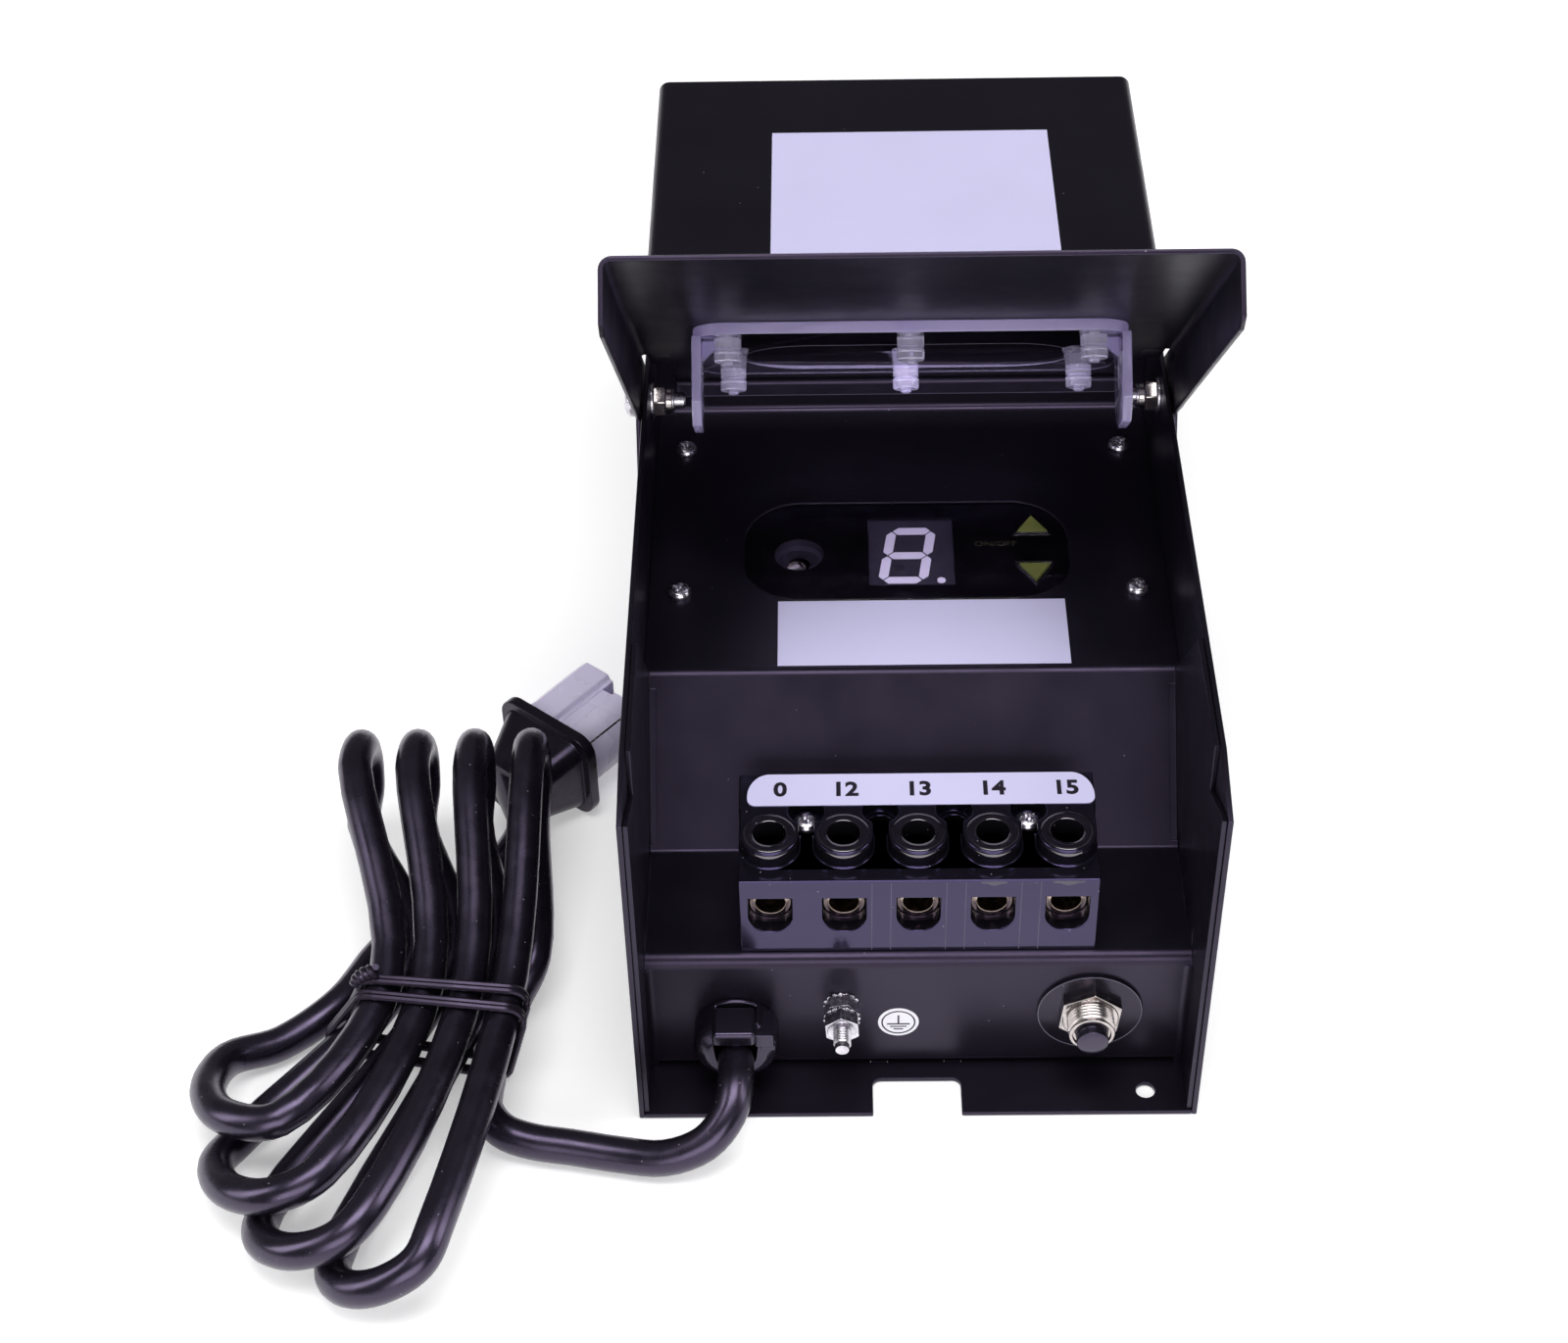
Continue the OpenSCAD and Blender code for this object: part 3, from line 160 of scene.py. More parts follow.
def fed(tree, node, inputs):
    """Links each named or numbered input to a socket, or sets it to a value."""
    for key, value in inputs.items():
        if isinstance(value, bpy.types.NodeSocket):
            tree.links.new(value, node.inputs[key])
        else:
            node.inputs[key].default_value = value
    return node


def added(tree, kind, inputs=None, **settings):
    """A new node of that kind, set and fed."""
    node = tree.nodes.new("ShaderNode" + kind)
    for key, value in settings.items():
        setattr(node, key, value)
    return fed(tree, node, inputs or {})


def spread(tree, value, low, high, start=0.3, end=0.7):
    """The value's range from start to end, spread from low to high."""
    return added(tree, "MapRange", {"Value": value, "From Min": start, "From Max": end, "To Min": low,
                                    "To Max": high}).outputs["Result"]


def blended(tree, share, first, second):
    """One colour turning into another; the first may be a socket."""
    if not isinstance(first, bpy.types.NodeSocket):
        first = (*first, 1.0)
    return added(tree, "Mix", {0: share, 6: first, 7: (*second, 1.0)}, data_type="RGBA").outputs[2]


def seen_by(tree, *kinds):
    """1 for rays of those kinds, and 0 for all others."""
    rays = added(tree, "LightPath").outputs
    value = rays[kinds[0]]
    for kind in kinds[1:]:
        value = added(tree, "Math", {0: value, 1: rays[kind]}, operation="MAXIMUM").outputs[0]
    return value


def ended(tree, share, first, second, output="Material Output"):
    """Ends the tree in one shader turning into another."""
    mix = added(tree, "MixShader", {0: share, 1: first.outputs[0], 2: second.outputs[0]})
    fed(tree, tree.nodes[output], {"Surface": mix.outputs[0]})


def lighter(colour, by):
    return tuple(min(1.0, c * by) for c in colour)


class Surface:
    """A material in the making, patterned by the place of each point on the object."""

    def __init__(self, name, colour, roughness, metallic=0.0):
        self.material = bpy.data.materials.new(name)
        self.material.use_nodes = True
        self.tree = self.material.node_tree
        self.shader = self.tree.nodes["Principled BSDF"]
        self.place = added(self.tree, "TexCoord").outputs["Object"]
        self.colour = colour
        self.bumps = {}
        self.set({"Base Color": (*colour, 1.0), "Roughness": roughness, "Metallic": metallic})

    def set(self, inputs):
        fed(self.tree, self.shader, inputs)

    def cloud(self, size, detail=2.0, place=None):
        """Soft noise with lumps of about that size in metres."""
        inputs = {"Scale": 1.0 / size, "Detail": detail, "Vector": place or self.place}
        return added(self.tree, "TexNoise", inputs).outputs["Fac"]

    def specks(self, spacing, size):
        """1 in small round spots that far apart, and 0 between them."""
        cells = added(self.tree, "TexVoronoi", {"Scale": 1.0 / spacing, "Vector": self.place})
        return added(self.tree, "Math", {0: cells.outputs["Distance"], 1: size / spacing},
                     operation="LESS_THAN").outputs[0]

    def tones(self, share, dark, light):
        """The colour, from a dark to a light share of itself."""
        return blended(self.tree, share, lighter(self.colour, dark), lighter(self.colour, light))

    def mottle(self, size, dark, light, detail=2.0, dust=None):
        """Uneven tones in lumps of that size, under dust of (spacing, size, colour)."""
        tone = self.tones(spread(self.tree, self.cloud(size, detail), 0.0, 1.0), dark, light)
        if dust:
            tone = blended(self.tree, self.specks(*dust[:2]), tone, dust[2])
        self.set({"Base Color": tone})

    def roughen(self, size, detail, low, high):
        self.set({"Roughness": spread(self.tree, self.cloud(size, detail), low, high)})

    def emboss(self, height, depth):
        """Bumps of that depth in metres, on top of the ones before."""
        bump = added(self.tree, "Bump", {"Distance": depth, "Height": height, **self.bumps})
        self.bumps = {"Normal": bump.outputs["Normal"]}
        self.set(self.bumps)


def powder_coat(name, colour, roughness):
    coat = Surface(name, colour, roughness)
    coat.set({"Specular Tint": SOFT_TINT})
    coat.mottle(0.03, 0.85, 1.25, dust=(0.0065, 0.00016, (0.2, 0.18, 0.24)))
    coat.roughen(0.012, 4.0, roughness - 0.04, roughness + 0.05)
    coat.emboss(coat.cloud(0.0016), 0.000012)
    coat.emboss(coat.cloud(0.00035), 0.000006)
    return coat.material


def plated(name, colour, roughness):
    metal = Surface(name, colour, roughness, 1.0)
    metal.mottle(0.0025, 0.72, 1.12, 3.0)
    metal.roughen(0.0012, 4.0, roughness - 0.06, roughness + 0.12)
    drawn = added(metal.tree, "Mapping", {"Scale": (1.0, 1.0, 5.0), "Vector": metal.place})
    metal.emboss(metal.cloud(0.0007, 3.0, drawn.outputs["Vector"]), 0.00001)
    return metal.material


def moulded(name, colour, roughness, grain=0.0, shine=0.5, dust=False, tint=(0.76, 0.62, 1.0), index=1.5):
    plastic = Surface(name, colour, roughness)
    plastic.set({"IOR": index, "Specular IOR Level": shine, "Specular Tint": (*tint, 1.0)})
    plastic.mottle(0.008, 0.85, 1.2, dust=(0.003, 0.00014, (0.3, 0.27, 0.33)) if dust else None)
    plastic.roughen(0.006, 4.0, roughness * 0.8, roughness * 1.25)
    plastic.emboss(plastic.cloud(0.004, 1.0), 0.00002)
    if grain:
        plastic.emboss(plastic.cloud(0.0003), grain)
    return plastic.material


def printed_film(name, colour, roughness=0.32):
    film = Surface(name, colour, roughness)
    film.mottle(0.02, 0.985, 1.01)
    film.roughen(0.01, 3.0, roughness - 0.04, roughness + 0.06)
    film.emboss(film.cloud(0.006), 0.00002)
    return film.material


def see_through(name, tint, roughness=0.03, clear=1.0, index=1.49):
    """Clear plastic that lets light through to what lies behind it, or milky below a clearness of 1."""
    resin = Surface(name, tint, roughness)
    resin.set({"Transmission Weight": clear, "IOR": index})
    resin.roughen(0.01, 3.0, roughness * 0.5, roughness * 2.0)
    resin.emboss(resin.cloud(0.008, 1.0), 0.00002)
    passing = added(resin.tree, "BsdfTransparent", {"Color": (*tint, 1.0)})
    ended(resin.tree, seen_by(resin.tree, "Is Shadow Ray"), resin.shader, passing)
    return resin.material


def lined(name, colour, roughness, metallic, axis, scale, distortion, dark, light, depth):
    """Fine lines along an axis: the sheets of a stack, or the turns of a winding."""
    stack = Surface(name, colour, roughness, metallic)
    wave = added(stack.tree, "TexWave", {"Scale": scale, "Distortion": distortion, "Vector": stack.place},
                 bands_direction=axis).outputs["Fac"]
    stack.set({"Base Color": stack.tones(wave, dark, light)})
    stack.emboss(wave, depth)
    return stack.material


FINISHES = {}


def finish_named(name):
    """The finish of that name; all of them are made at the first call."""
    if not FINISHES:
        look = bpy.context.scene.transformer_look
        metal, plastic = look.metal, look.plastic
        black, jacket = plastic.black, look.cord.jacket
        table = {
            powder_coat: [("powder coat", look.case.coat, look.case.gloss)],
            plated: [
                ("zinc", metal.zinc, 0.24), ("nickel", metal.nickel, 0.16),
                ("galvanised", (0.5, 0.51, 0.53), 0.4), ("clamp metal", metal.brass, 0.13),
                ("blade", (0.62, 0.58, 0.55), 0.2)],
            moulded: [
                ("gloss block", black, 0.12, 0.0, 1.0, True, (0.55, 0.45, 1.0)),
                ("gloss rim", black, 0.09, 0.0, 1.0, True, (1.0, 0.93, 1.0), 1.8),
                ("seam", (0.1, 0.09, 0.125), 0.4), ("scuff", (0.1, 0.09, 0.11), 0.6, 0.00002, 0.5, True),
                ("black moulding", black, 0.34, 0.000006),
                ("relief nylon", lighter(black, 0.9), 0.2, 0.000002, 0.8),
                ("ring print", lighter(black, 0.8), 0.2, 0.0, 0.5, True),
                ("button", lighter(black, 1.3), 0.24, 0.000002, 0.9),
                ("mask", (0.0025, 0.0023, 0.003), 0.5), ("display", (0.026, 0.023, 0.034), 0.5),
                ("well", (0.03, 0.026, 0.04), 0.4, 0.0, 0.3), ("olive", plastic.olive, 0.5, 0.0, 0.2),
                # The thin lavender-grey line finish is a painted highlight for the bright rims of the lens
                # and the breaker's ring plate.
                ("dim print", (0.05, 0.05, 0.03), 0.5, 0.0, 0.1), ("faint line", (0.16, 0.145, 0.19), 0.4),
                ("ink", (0.012, 0.01, 0.014), 0.45), ("board", (0.014, 0.014, 0.018), 0.3),
                ("relay", (0.02, 0.05, 0.2), 0.3), ("jacket", jacket, 0.27, 0.000002, 0.9, True),
                ("plug", jacket, 0.3, 0.000005), ("tie", (0.012, 0.009, 0.014), 0.3)],
            printed_film: [
                ("film", plastic.film), ("white film", (0.95, 0.93, 1.0), 0.5),
                ("segment", (0.8, 0.75, 0.92), 0.5)],
            see_through: [
                ("lens", (0.93, 0.91, 0.98), 0.02, 1.0, 1.45), ("clear", plastic.clear),
                # The edge finish below is a painted glow, put on the rims of the door window's plate and
                # legs.
                ("clear edge", (0.52, 0.46, 0.7), 0.1, 0.55), ("clear leg", (0.8, 0.74, 0.95), 0.03, 0.93),
                # The legs and pegs get milkier, lavender copies of the clear plastic, painted light so that
                # they read as lit.
                ("clear peg", (0.84, 0.8, 0.96), 0.04, 0.8), ("cap", (0.74, 0.69, 0.88), 0.2, 0.12, 1.38),
                ("sensor", (0.95, 0.93, 1.0), 0.04, 1.0, 1.5)],
            lined: [
                ("iron", (0.14, 0.145, 0.16), 0.45, 0.6, "Z", 320.0, 0.6, 0.55, 1.3, 0.00008),
                ("copper", (0.5, 0.2, 0.07), 0.28, 0.85, "Y", 260.0, 0.8, 0.4, 1.25, 0.0002)],
        }
        for maker, rows in table.items():
            for finish, *values in rows:
                FINISHES[finish] = maker(finish.replace(" ", "_"), *values)
    return FINISHES[name]


# ---- making pieces


def body_with(node):
    bodies = frame["record"]["behaviour"]["bodies"]
    return next(body for body, members in bodies.items() if node in members)


def mesh_of(name, bm):
    """The shape as a mesh; the shape itself is freed."""
    mesh = bpy.data.meshes.new(name)
    bm.to_mesh(mesh)
    bm.free()
    return mesh


def listed(name, data, finish, node=None):
    """An object that rides on its node's body, or on the case's body when no node is given."""
    piece = bpy.data.objects.new(name, data)
    bpy.context.scene.collection.objects.link(piece)
    data.materials.append(finish_named(finish))
    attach(piece, body_with(node) if node else "case")
    return piece


def finished(name, bm, finish, node=None, crease=35.0, even=False):
    """Makes an object of the shape, smooth across every edge flatter than the crease angle.

    Even shading keeps flat faces flat beside rounded edges.
    """
    bmesh.ops.remove_doubles(bm, verts=bm.verts, dist=0.0000005)
    for face in bm.faces:
        face.smooth = True
    for edge in bm.edges:
        edge.smooth = len(edge.link_faces) == 2 and edge.calc_face_angle(0.0) < radians(crease)
    piece = listed(name, mesh_of(name, bm), finish, node)
    if even:
        piece.modifiers.new("Even shading", "WEIGHTED_NORMAL").keep_sharp = True
    return piece


def instead(name, bm, finish, node, even=False):
    """A finished shape that stands for its node."""
    piece = finished(name, bm, finish, node, even=even)
    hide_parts(node)
    return piece


def node_shape(node):
    """A merged copy of a CAD node's shape, its flat faces whole."""
    bm = bmesh.new()
    bm.from_mesh(frame["nodes"][node].data)
    bmesh.ops.remove_doubles(bm, verts=bm.verts, dist=0.000002)
    bmesh.ops.dissolve_limit(bm, angle_limit=radians(0.6), use_dissolve_boundaries=False,
                             verts=bm.verts, edges=bm.edges)
    return bm


def round_edges(bm, radius, corner=32.0, segments=2):
    sharp = [e for e in bm.edges if len(e.link_faces) == 2 and e.calc_face_angle(0.0) > radians(corner)]
    bmesh.ops.bevel(bm, geom=sharp, offset=radius, offset_type="OFFSET", segments=segments, profile=0.5,
                    affect="EDGES", clamp_overlap=False, material=-1)


def dressed(finish, edge, *nodes, segments=2, corner=32.0):
    """Finished copies that stand for CAD nodes, their sharp edges rounded inside their boxes."""
    for node in nodes:
        bm = node_shape(node)
        if edge:
            low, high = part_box(node)
            round_edges(bm, edge, corner, segments)
            for vert in bm.verts:
                vert.co = [min(max(c, a), b) for c, a, b in zip(vert.co, low, high)]
        instead(node + "_finished", bm, finish, node, bool(edge))


def poured(bm, shape, matrix):
    """Puts a shape in its place, and adds it to the others if there are any."""
    bmesh.ops.transform(shape, matrix=matrix, verts=shape.verts)
    if bm is None:
        return shape
    mesh = mesh_of("poured", shape)
    bm.from_mesh(mesh)
    bpy.data.meshes.remove(mesh)
    return bm


def turned(bm, profile, matrix, steps):
    """Spins a profile of (radius, height) in millimetres about the local Z axis."""
    shape = bmesh.new()
    verts = [shape.verts.new((r, 0.0, h)) for r, h in profile]
    edges = [shape.edges.new(pair) for pair in zip(verts, verts[1:])]
    bmesh.ops.spin(shape, geom=verts + edges, cent=(0, 0, 0), axis=(0, 0, 1), dvec=(0, 0, 0), angle=2 * pi,
                   steps=steps, use_merge=True, use_normal_flip=False, use_duplicate=False)
    bmesh.ops.remove_doubles(shape, verts=shape.verts, dist=0.0004)
    bmesh.ops.recalc_face_normals(shape, faces=shape.faces)
    return poured(bm, shape, matrix)


def slab(bm, low, high, matrix, rounding=0.0, segments=2):
    """A box between two corners in millimetres, its edges rounded."""
    shape = bmesh.new()
    size, middle = Vector(high) - Vector(low), (Vector(high) + Vector(low)) / 2
    bmesh.ops.create_cube(shape, size=1.0, matrix=Matrix.Translation(middle) @ Matrix.Diagonal((*size, 1.0)))
    if rounding:
        round_edges(shape, rounding, segments=segments)
    return poured(bm, shape, matrix)


def raised(outline, low, high):
    """A flat outline in millimetres raised from low to high along local Z."""
    shape = bmesh.new()
    face = shape.faces.new([shape.verts.new((x, y, low)) for x, y in outline])
    top = bmesh.ops.extrude_face_region(shape, geom=[face])["geom"]
    bmesh.ops.translate(shape, verts=[g for g in top if isinstance(g, bmesh.types.BMVert)],
                        vec=(0, 0, high - low))
    bmesh.ops.recalc_face_normals(shape, faces=shape.faces)
    return shape


def prism(bm, outline, low, high, matrix, rounding=0.0, segments=2, corner=32.0):
    """A raised outline, its edges rounded."""
    shape = raised(outline, low, high)
    if rounding:
        round_edges(shape, rounding, corner, segments)
    return poured(bm, shape, matrix)


def standing_line(bm, outline, low, high, matrix):
    """The sides of a raised outline, without its ends."""
    shape = raised(outline, low, high)
    bmesh.ops.delete(shape, geom=[f for f in shape.faces if len(f.verts) > 4], context="FACES_ONLY")
    return poured(bm, shape, matrix)


def rounded_outline(width, height, corners, count):
    """A rectangle about the local origin with elliptic corners, their half axes from the top right round."""
    points = []
    for k, ((sx, sy), (a, b)) in enumerate(zip(((1, 1), (-1, 1), (-1, -1), (1, -1)), corners)):
        for j in range(count + 1):
            t = pi / 2 * (k + j / count)
            points.append((sx * (width / 2 - a) + a * cos(t), sy * (height / 2 - b) + b * sin(t)))
    return points


def hexagon_outline(across, turn):
    radius, angles = across / 3 ** 0.5, [radians(turn) + 2 * pi * i / 6 for i in range(6)]
    return [(radius * cos(a), radius * sin(a)) for a in angles]


def thread(major, minor, pitch, low, high):
    """Profile of a thread: ridges between two heights."""
    points = []
    turns = int((high - low) / pitch)
    for i in range(turns):
        base = low + i * pitch
        points += [(minor, base + 0.08 * pitch), (major, base + 0.46 * pitch), (major, base + 0.6 * pitch)]
    return points + [(minor, low + turns * pitch)]


def letters(name, text, height, matrix, finish, node=None, depth=0.06, bold=0.0, wide=1.0):
    """Plain figures made into a thin mesh, in millimetres and centred on the local origin."""
    curve = bpy.data.curves.new(name + "_outline", "FONT")
    curve.body = text
    curve.size = height
    curve.align_x, curve.align_y = "CENTER", "CENTER"
    curve.extrude = depth / 2
    curve.offset = bold
    curve.resolution_u = 3
    holder = bpy.data.objects.new(name + "_outline", curve)
    bpy.context.scene.collection.objects.link(holder)
    bpy.context.view_layer.update()
    mesh = bpy.data.meshes.new_from_object(holder.evaluated_get(bpy.context.evaluated_depsgraph_get()))
    bpy.data.objects.remove(holder)
    bm = bmesh.new()
    bm.from_mesh(mesh)
    bpy.data.meshes.remove(mesh)
    bmesh.ops.transform(bm, matrix=matrix @ Matrix.Diagonal((wide, 1, 1, 1)), verts=bm.verts)
    return finished(name, bm, finish, node)


def tube_along(bm, path, radius, closed=False):
    """A round strand along points in metres, spun up from a circle that follows them."""
    rings = []
    count = len(path)
    for i, p in enumerate(path):
        ahead = path[(i + 1) % count] if closed else path[min(i + 1, count - 1)]
        behind = path[i - 1] if closed or i else path[0]
        turn = (ahead - behind).to_track_quat("Z", "Y").to_matrix().to_4x4()
        made = bmesh.ops.create_circle(bm, segments=8, radius=radius, matrix=Matrix.Translation(p) @ turn)
        rings.append(list({e for v in made["verts"] for e in v.link_edges}))
    for a, b in zip(rings, rings[1:] + rings[:1] if closed else rings[1:]):
        bmesh.ops.bridge_loops(bm, edges=a + b)
    if not closed:
        bmesh.ops.holes_fill(bm, edges=rings[0] + rings[-1], sides=0)
    bmesh.ops.recalc_face_normals(bm, faces=bm.faces)


# ---- the cord's route, as in the CAD source

LEAD_ROUTE = [
    (-41.1, 20.4, 15.2), (-41.1, 5.4, 15.2), (-41.1, -2.8, 15.2), (-42.6, -9, 12.4), (-48, -14, 8.4),
    (-57, -15.4, 5.2), (-67, -13.6, 4.2), (-78, -11.4, 4.2), (-87, -9.8, 4.3), (-94, -7, 4.9),
    (-98.2, -1.2, 5.7), (-98.2, 7, 5.7)]
TAIL_ROUTE = [(-107, 71, 4.2), (-101, 77, 4.2), (-98, 81.6, 5), (-95.4, 86, 7)]
HANK_IN = [(-98.2, 7, 5.7), (-98.2, 15.4, 5.7), (-97.8, 19.6, 5.6), (-93.4, 29, 8.6)]
HANK_OUT = [(-135, 31, 5.2), (-127.5, 47, 4.2), (-119, 59, 4.2), (-113, 65, 4.2), (-107, 71, 4.2)]
HANK_LOOPS = 4
CORD_RADIUS = 4.1
LAYER = 8.9
SLOT_PITCH = 9.5
WAIST = (-121.5, 23.0)
FAN = (-116.0, 8.0)
CROWN_MIDDLE = -112.5
CROWN_PITCH = 13.8
TIE_WIRE = 0.95  # the tie's thickness on a strand of the cord


def smooth_route(points, steps):
    """The curve of the CAD source through given points in millimetres."""
    p = [Vector(point) for point in points]
    last = len(p) - 1
    route = []
    for i in range(last):
        a, b, c, d = p[max(i - 1, 0)], p[i], p[i + 1], p[min(i + 2, last)]
        for k in range(steps):
            t = k / steps
            route.append(0.5 * (2 * b + (c - a) * t + (2 * a - 5 * b + 4 * c - d) * t ** 2
                                + (3 * b - a - 3 * c + d) * t ** 3))
    return route + [p[last]]


def even_route(points, steps):
    """A curve through points in millimetres that stays round where they lie close together."""
    p = [Vector(point) for point in points]
    p = [2 * p[0] - p[1], *p, 2 * p[-1] - p[-2]]
    knots = [0.0]
    for a, b in zip(p, p[1:]):
        knots.append(knots[-1] + (b - a).length ** 0.5)

    def between(a, b, start, end, t):
        return a * ((end - t) / (end - start)) + b * ((t - start) / (end - start))

    route = []
    for i in range(1, len(p) - 2):
        k0, k1, k2, k3 = knots[i - 1:i + 3]
        for j in range(steps):
            t = k1 + (k2 - k1) * j / steps
            first = between(p[i - 1], p[i], k0, k1, t)
            second = between(p[i], p[i + 1], k1, k2, t)
            third = between(p[i + 1], p[i + 2], k2, k3, t)
            first, second = between(first, second, k0, k2, t), between(second, third, k1, k3, t)
            route.append(between(first, second, k1, k2, t))
    return route + [p[-2]]


def loop_points(i):
    """The points of one loop of the hank, from the waist up over the crown and round the bow."""
    turn = radians(190 + 80 * (i / (HANK_LOOPS - 1)) ** 0.75)
    out = Vector((cos(turn), sin(turn)))
    bow = 17 - 1.7 * i
    side = Vector((-out.y, out.x)) * bow
    centre = Vector(FAN) + out * (29 + 7 * i)
    x = CROWN_MIDDLE + (i - (HANK_LOOPS - 1) / 2) * CROWN_PITCH
    slot = WAIST[0] + SLOT_PITCH * i
    middle = CORD_RADIUS + LAYER
    crown = [(77, 5), (87.8, 7.6), (91, 14.5), (87.8, 21.4), (77, 24)]
    diagonal = 0.707
    return [
        (slot + SLOT_PITCH * 0.4, WAIST[1] + 14, middle + CORD_RADIUS / 4),
        *((x, y, middle + rise) for y, rise in crown),
        (slot, WAIST[1], middle + LAYER), (*(centre + side), 18.1),
        (*(centre + (side + out * bow) * diagonal), 15.4), (*(centre + out * (bow - 0.6)), 11.1),
        (*(centre + (out * bow - side) * diagonal), 6.8), (*(centre - side), CORD_RADIUS)]


def cord_route():
    """The whole route, kept off the floor and out of the case."""
    hank = list(HANK_IN)
    for i in reversed(range(HANK_LOOPS)):
        hank += loop_points(i)
    hank += HANK_OUT
    route = smooth_route(LEAD_ROUTE, 4)[:-1] + even_route(hank, 6)[:-1] + smooth_route(TAIL_ROUTE, 4)
    low = bpy.context.scene.transformer_look.cord.diameter / MM / 2
    return [Vector((p.x, p.y, max(p.z, low))) for p in route if p.y < 12 or p.x < -45]


# ---- operators


class TRANSFORMER_OT_cord(bpy.types.Operator):
    """Lay the supply cord from the strain relief through its hank to the plug"""

    bl_idname = "transformer.cord"
    bl_label = "Supply cord"

    def execute(self, context):
        cord = context.scene.transformer_look.cord
        route = cord_route()
        curve = bpy.data.curves.new("supply_cord", "CURVE")
        curve.dimensions = "3D"
        curve.bevel_depth = cord.diameter / 2
        curve.bevel_resolution = 7
        curve.use_fill_caps = True
        spline = curve.splines.new("POLY")
        spline.points.add(len(route) - 1)
        for point, place in zip(spline.points, route):
            point.co = (*at(*place), 1.0)
        piece = listed("supply_cord", curve, "jacket", "cord_hank")
        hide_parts("cord_lead", "cord_hank", "cord_tail")
        return {"FINISHED"}


class TRANSFORMER_OT_plug(bpy.types.Operator):
    """Make the plug, its blades and the clear cap over them"""

    bl_idname = "transformer.plug"
    bl_label = "Plug and cap"

    def execute(self, context):
        dressed("plug", 0.0004, "plug_body", corner=20.0)
        dressed("blade", 0.0003, "plug_blades")
        round_side = [(-4.6 - 5.8 * sin(a), 9.4 * cos(a)) for a in (pi * k / 14 for k in range(15))]
        groove = [(-2.6, -9.4), (-2.0, -8.0), (1.6, -8.0)]
        pin_end = [(1.6, -8.0), (2.6, -8.0), (3.2, -9.4), (10.6, -9.4), (13.0, -7.0)]
        place = placed(-87.6, 106.6, 12.8, Matrix.Rotation(radians(50.6), 4, "Z")) @ SIDEWAYS
        bm = prism(None, round_side + self.mirrored(groove), 0.0, 18.8, place, 0.4, corner=40.0)
        prism(bm, self.mirrored(pin_end), 0.0, 22.8, place, 0.4, corner=40.0)
        instead("plug_cap_moulded", bm, "cap", "plug_cap", even=True)
        return {"FINISHED"}

    def mirrored(self, half):
        return half + [(x, -y) for x, y in reversed(half)]


class TRANSFORMER_OT_tie(bpy.types.Operator):
    """Wind the twist tie round the hank's waist"""

    bl_idname = "transformer.tie"
    bl_label = "Twist tie"

    def execute(self, context):
        route = cord_route()
        strands = [self.ring(f"tie_strand_{i + 1}", route, *ends)
                   for i, ends in enumerate(((20.5, 16.5), (16.5, 11.5)))]
        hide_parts("twist_tie")
        self.knot()
        return {"FINISHED"}

    def crossings(self, route, height):
        """Where the hank's strands pass through a plane that leans across them."""
        found = []
        for a, b in zip(route, route[1:]):
            ra, rb = a.y - height(a.x), b.y - height(b.x)
            if (ra <= 0) != (rb <= 0):
                p = a.lerp(b, ra / (ra - rb))
                if -141 < p.x < -90:
                    found.append(Vector((p.x, p.z)))
        return found

    def ring(self, name, route, left_y, right_y):
        """A flat two-lobed tie pulled round the strands, from left_y down to right_y."""
        def height(x):
            return left_y + (right_y - left_y) / 40.0 * (x + 130.0)

        found = self.crossings(route, height)
        steps = 72
        points = []
        for k in range(steps):
            a = 2 * pi * k / steps
            out = Vector((cos(a), sin(a)))
            q = max(found, key=lambda spot: spot.dot(out)) + out * (CORD_RADIUS + TIE_WIRE)
            points.append((q.x, height(q.x) + 0.35 * sin(3 * a), max(q.y, TIE_WIRE)))
        bm = bmesh.new()
        for side in (-0.6, 0.6):
            tube_along(bm, [at(x, y + side, z) for x, y, z in points], 0.75 * MM, closed=True)
        return finished(name, bm, "tie", "twist_tie")

    def knot(self):
        """The twisted ends, bent round the left strand."""
        bm = bmesh.new()
        for phase in (0.0, pi):
            path = []
            for t in (k / 59 for k in range(60)):
                a = 2 * pi * 2.6 * t + phase
                lie = radians(176 - 74 * t)
                far = 6.4 + 1.05 * sin(a)
                path.append(at(WAIST[0] + far * cos(lie), 21.4 - 1.2 * t + 1.05 * cos(a),
                               CORD_RADIUS + 2 * LAYER + far * sin(lie)))
            tube_along(bm, path, 0.8 * MM)
        finished("tie_knot", bm, "tie", "twist_tie")


class TRANSFORMER_OT_case(bpy.types.Operator):
    """Finish the sheet metal of the case with rounded cut edges and powder coat"""

    bl_idname = "transformer.case"
    bl_label = "Case"

    def execute(self, context):
        edge = context.scene.transformer_look.case.edge
        dressed("powder coat", edge, "outer_cover", "back_panel", "front_panel")
        dressed("galvanised", edge, "panel_brackets")
        bm = bmesh.new()
        for x in (-8.5, 8.5):
            slab(bm, (x - 1.9, 0.65, 0.0), (x + 1.9, 1.75, 1.3), placed(0, BOTTOM_FACE, 0), 0.15)
        finished("panel_tabs", bm, "powder coat", "front_panel")
        return {"FINISHED"}


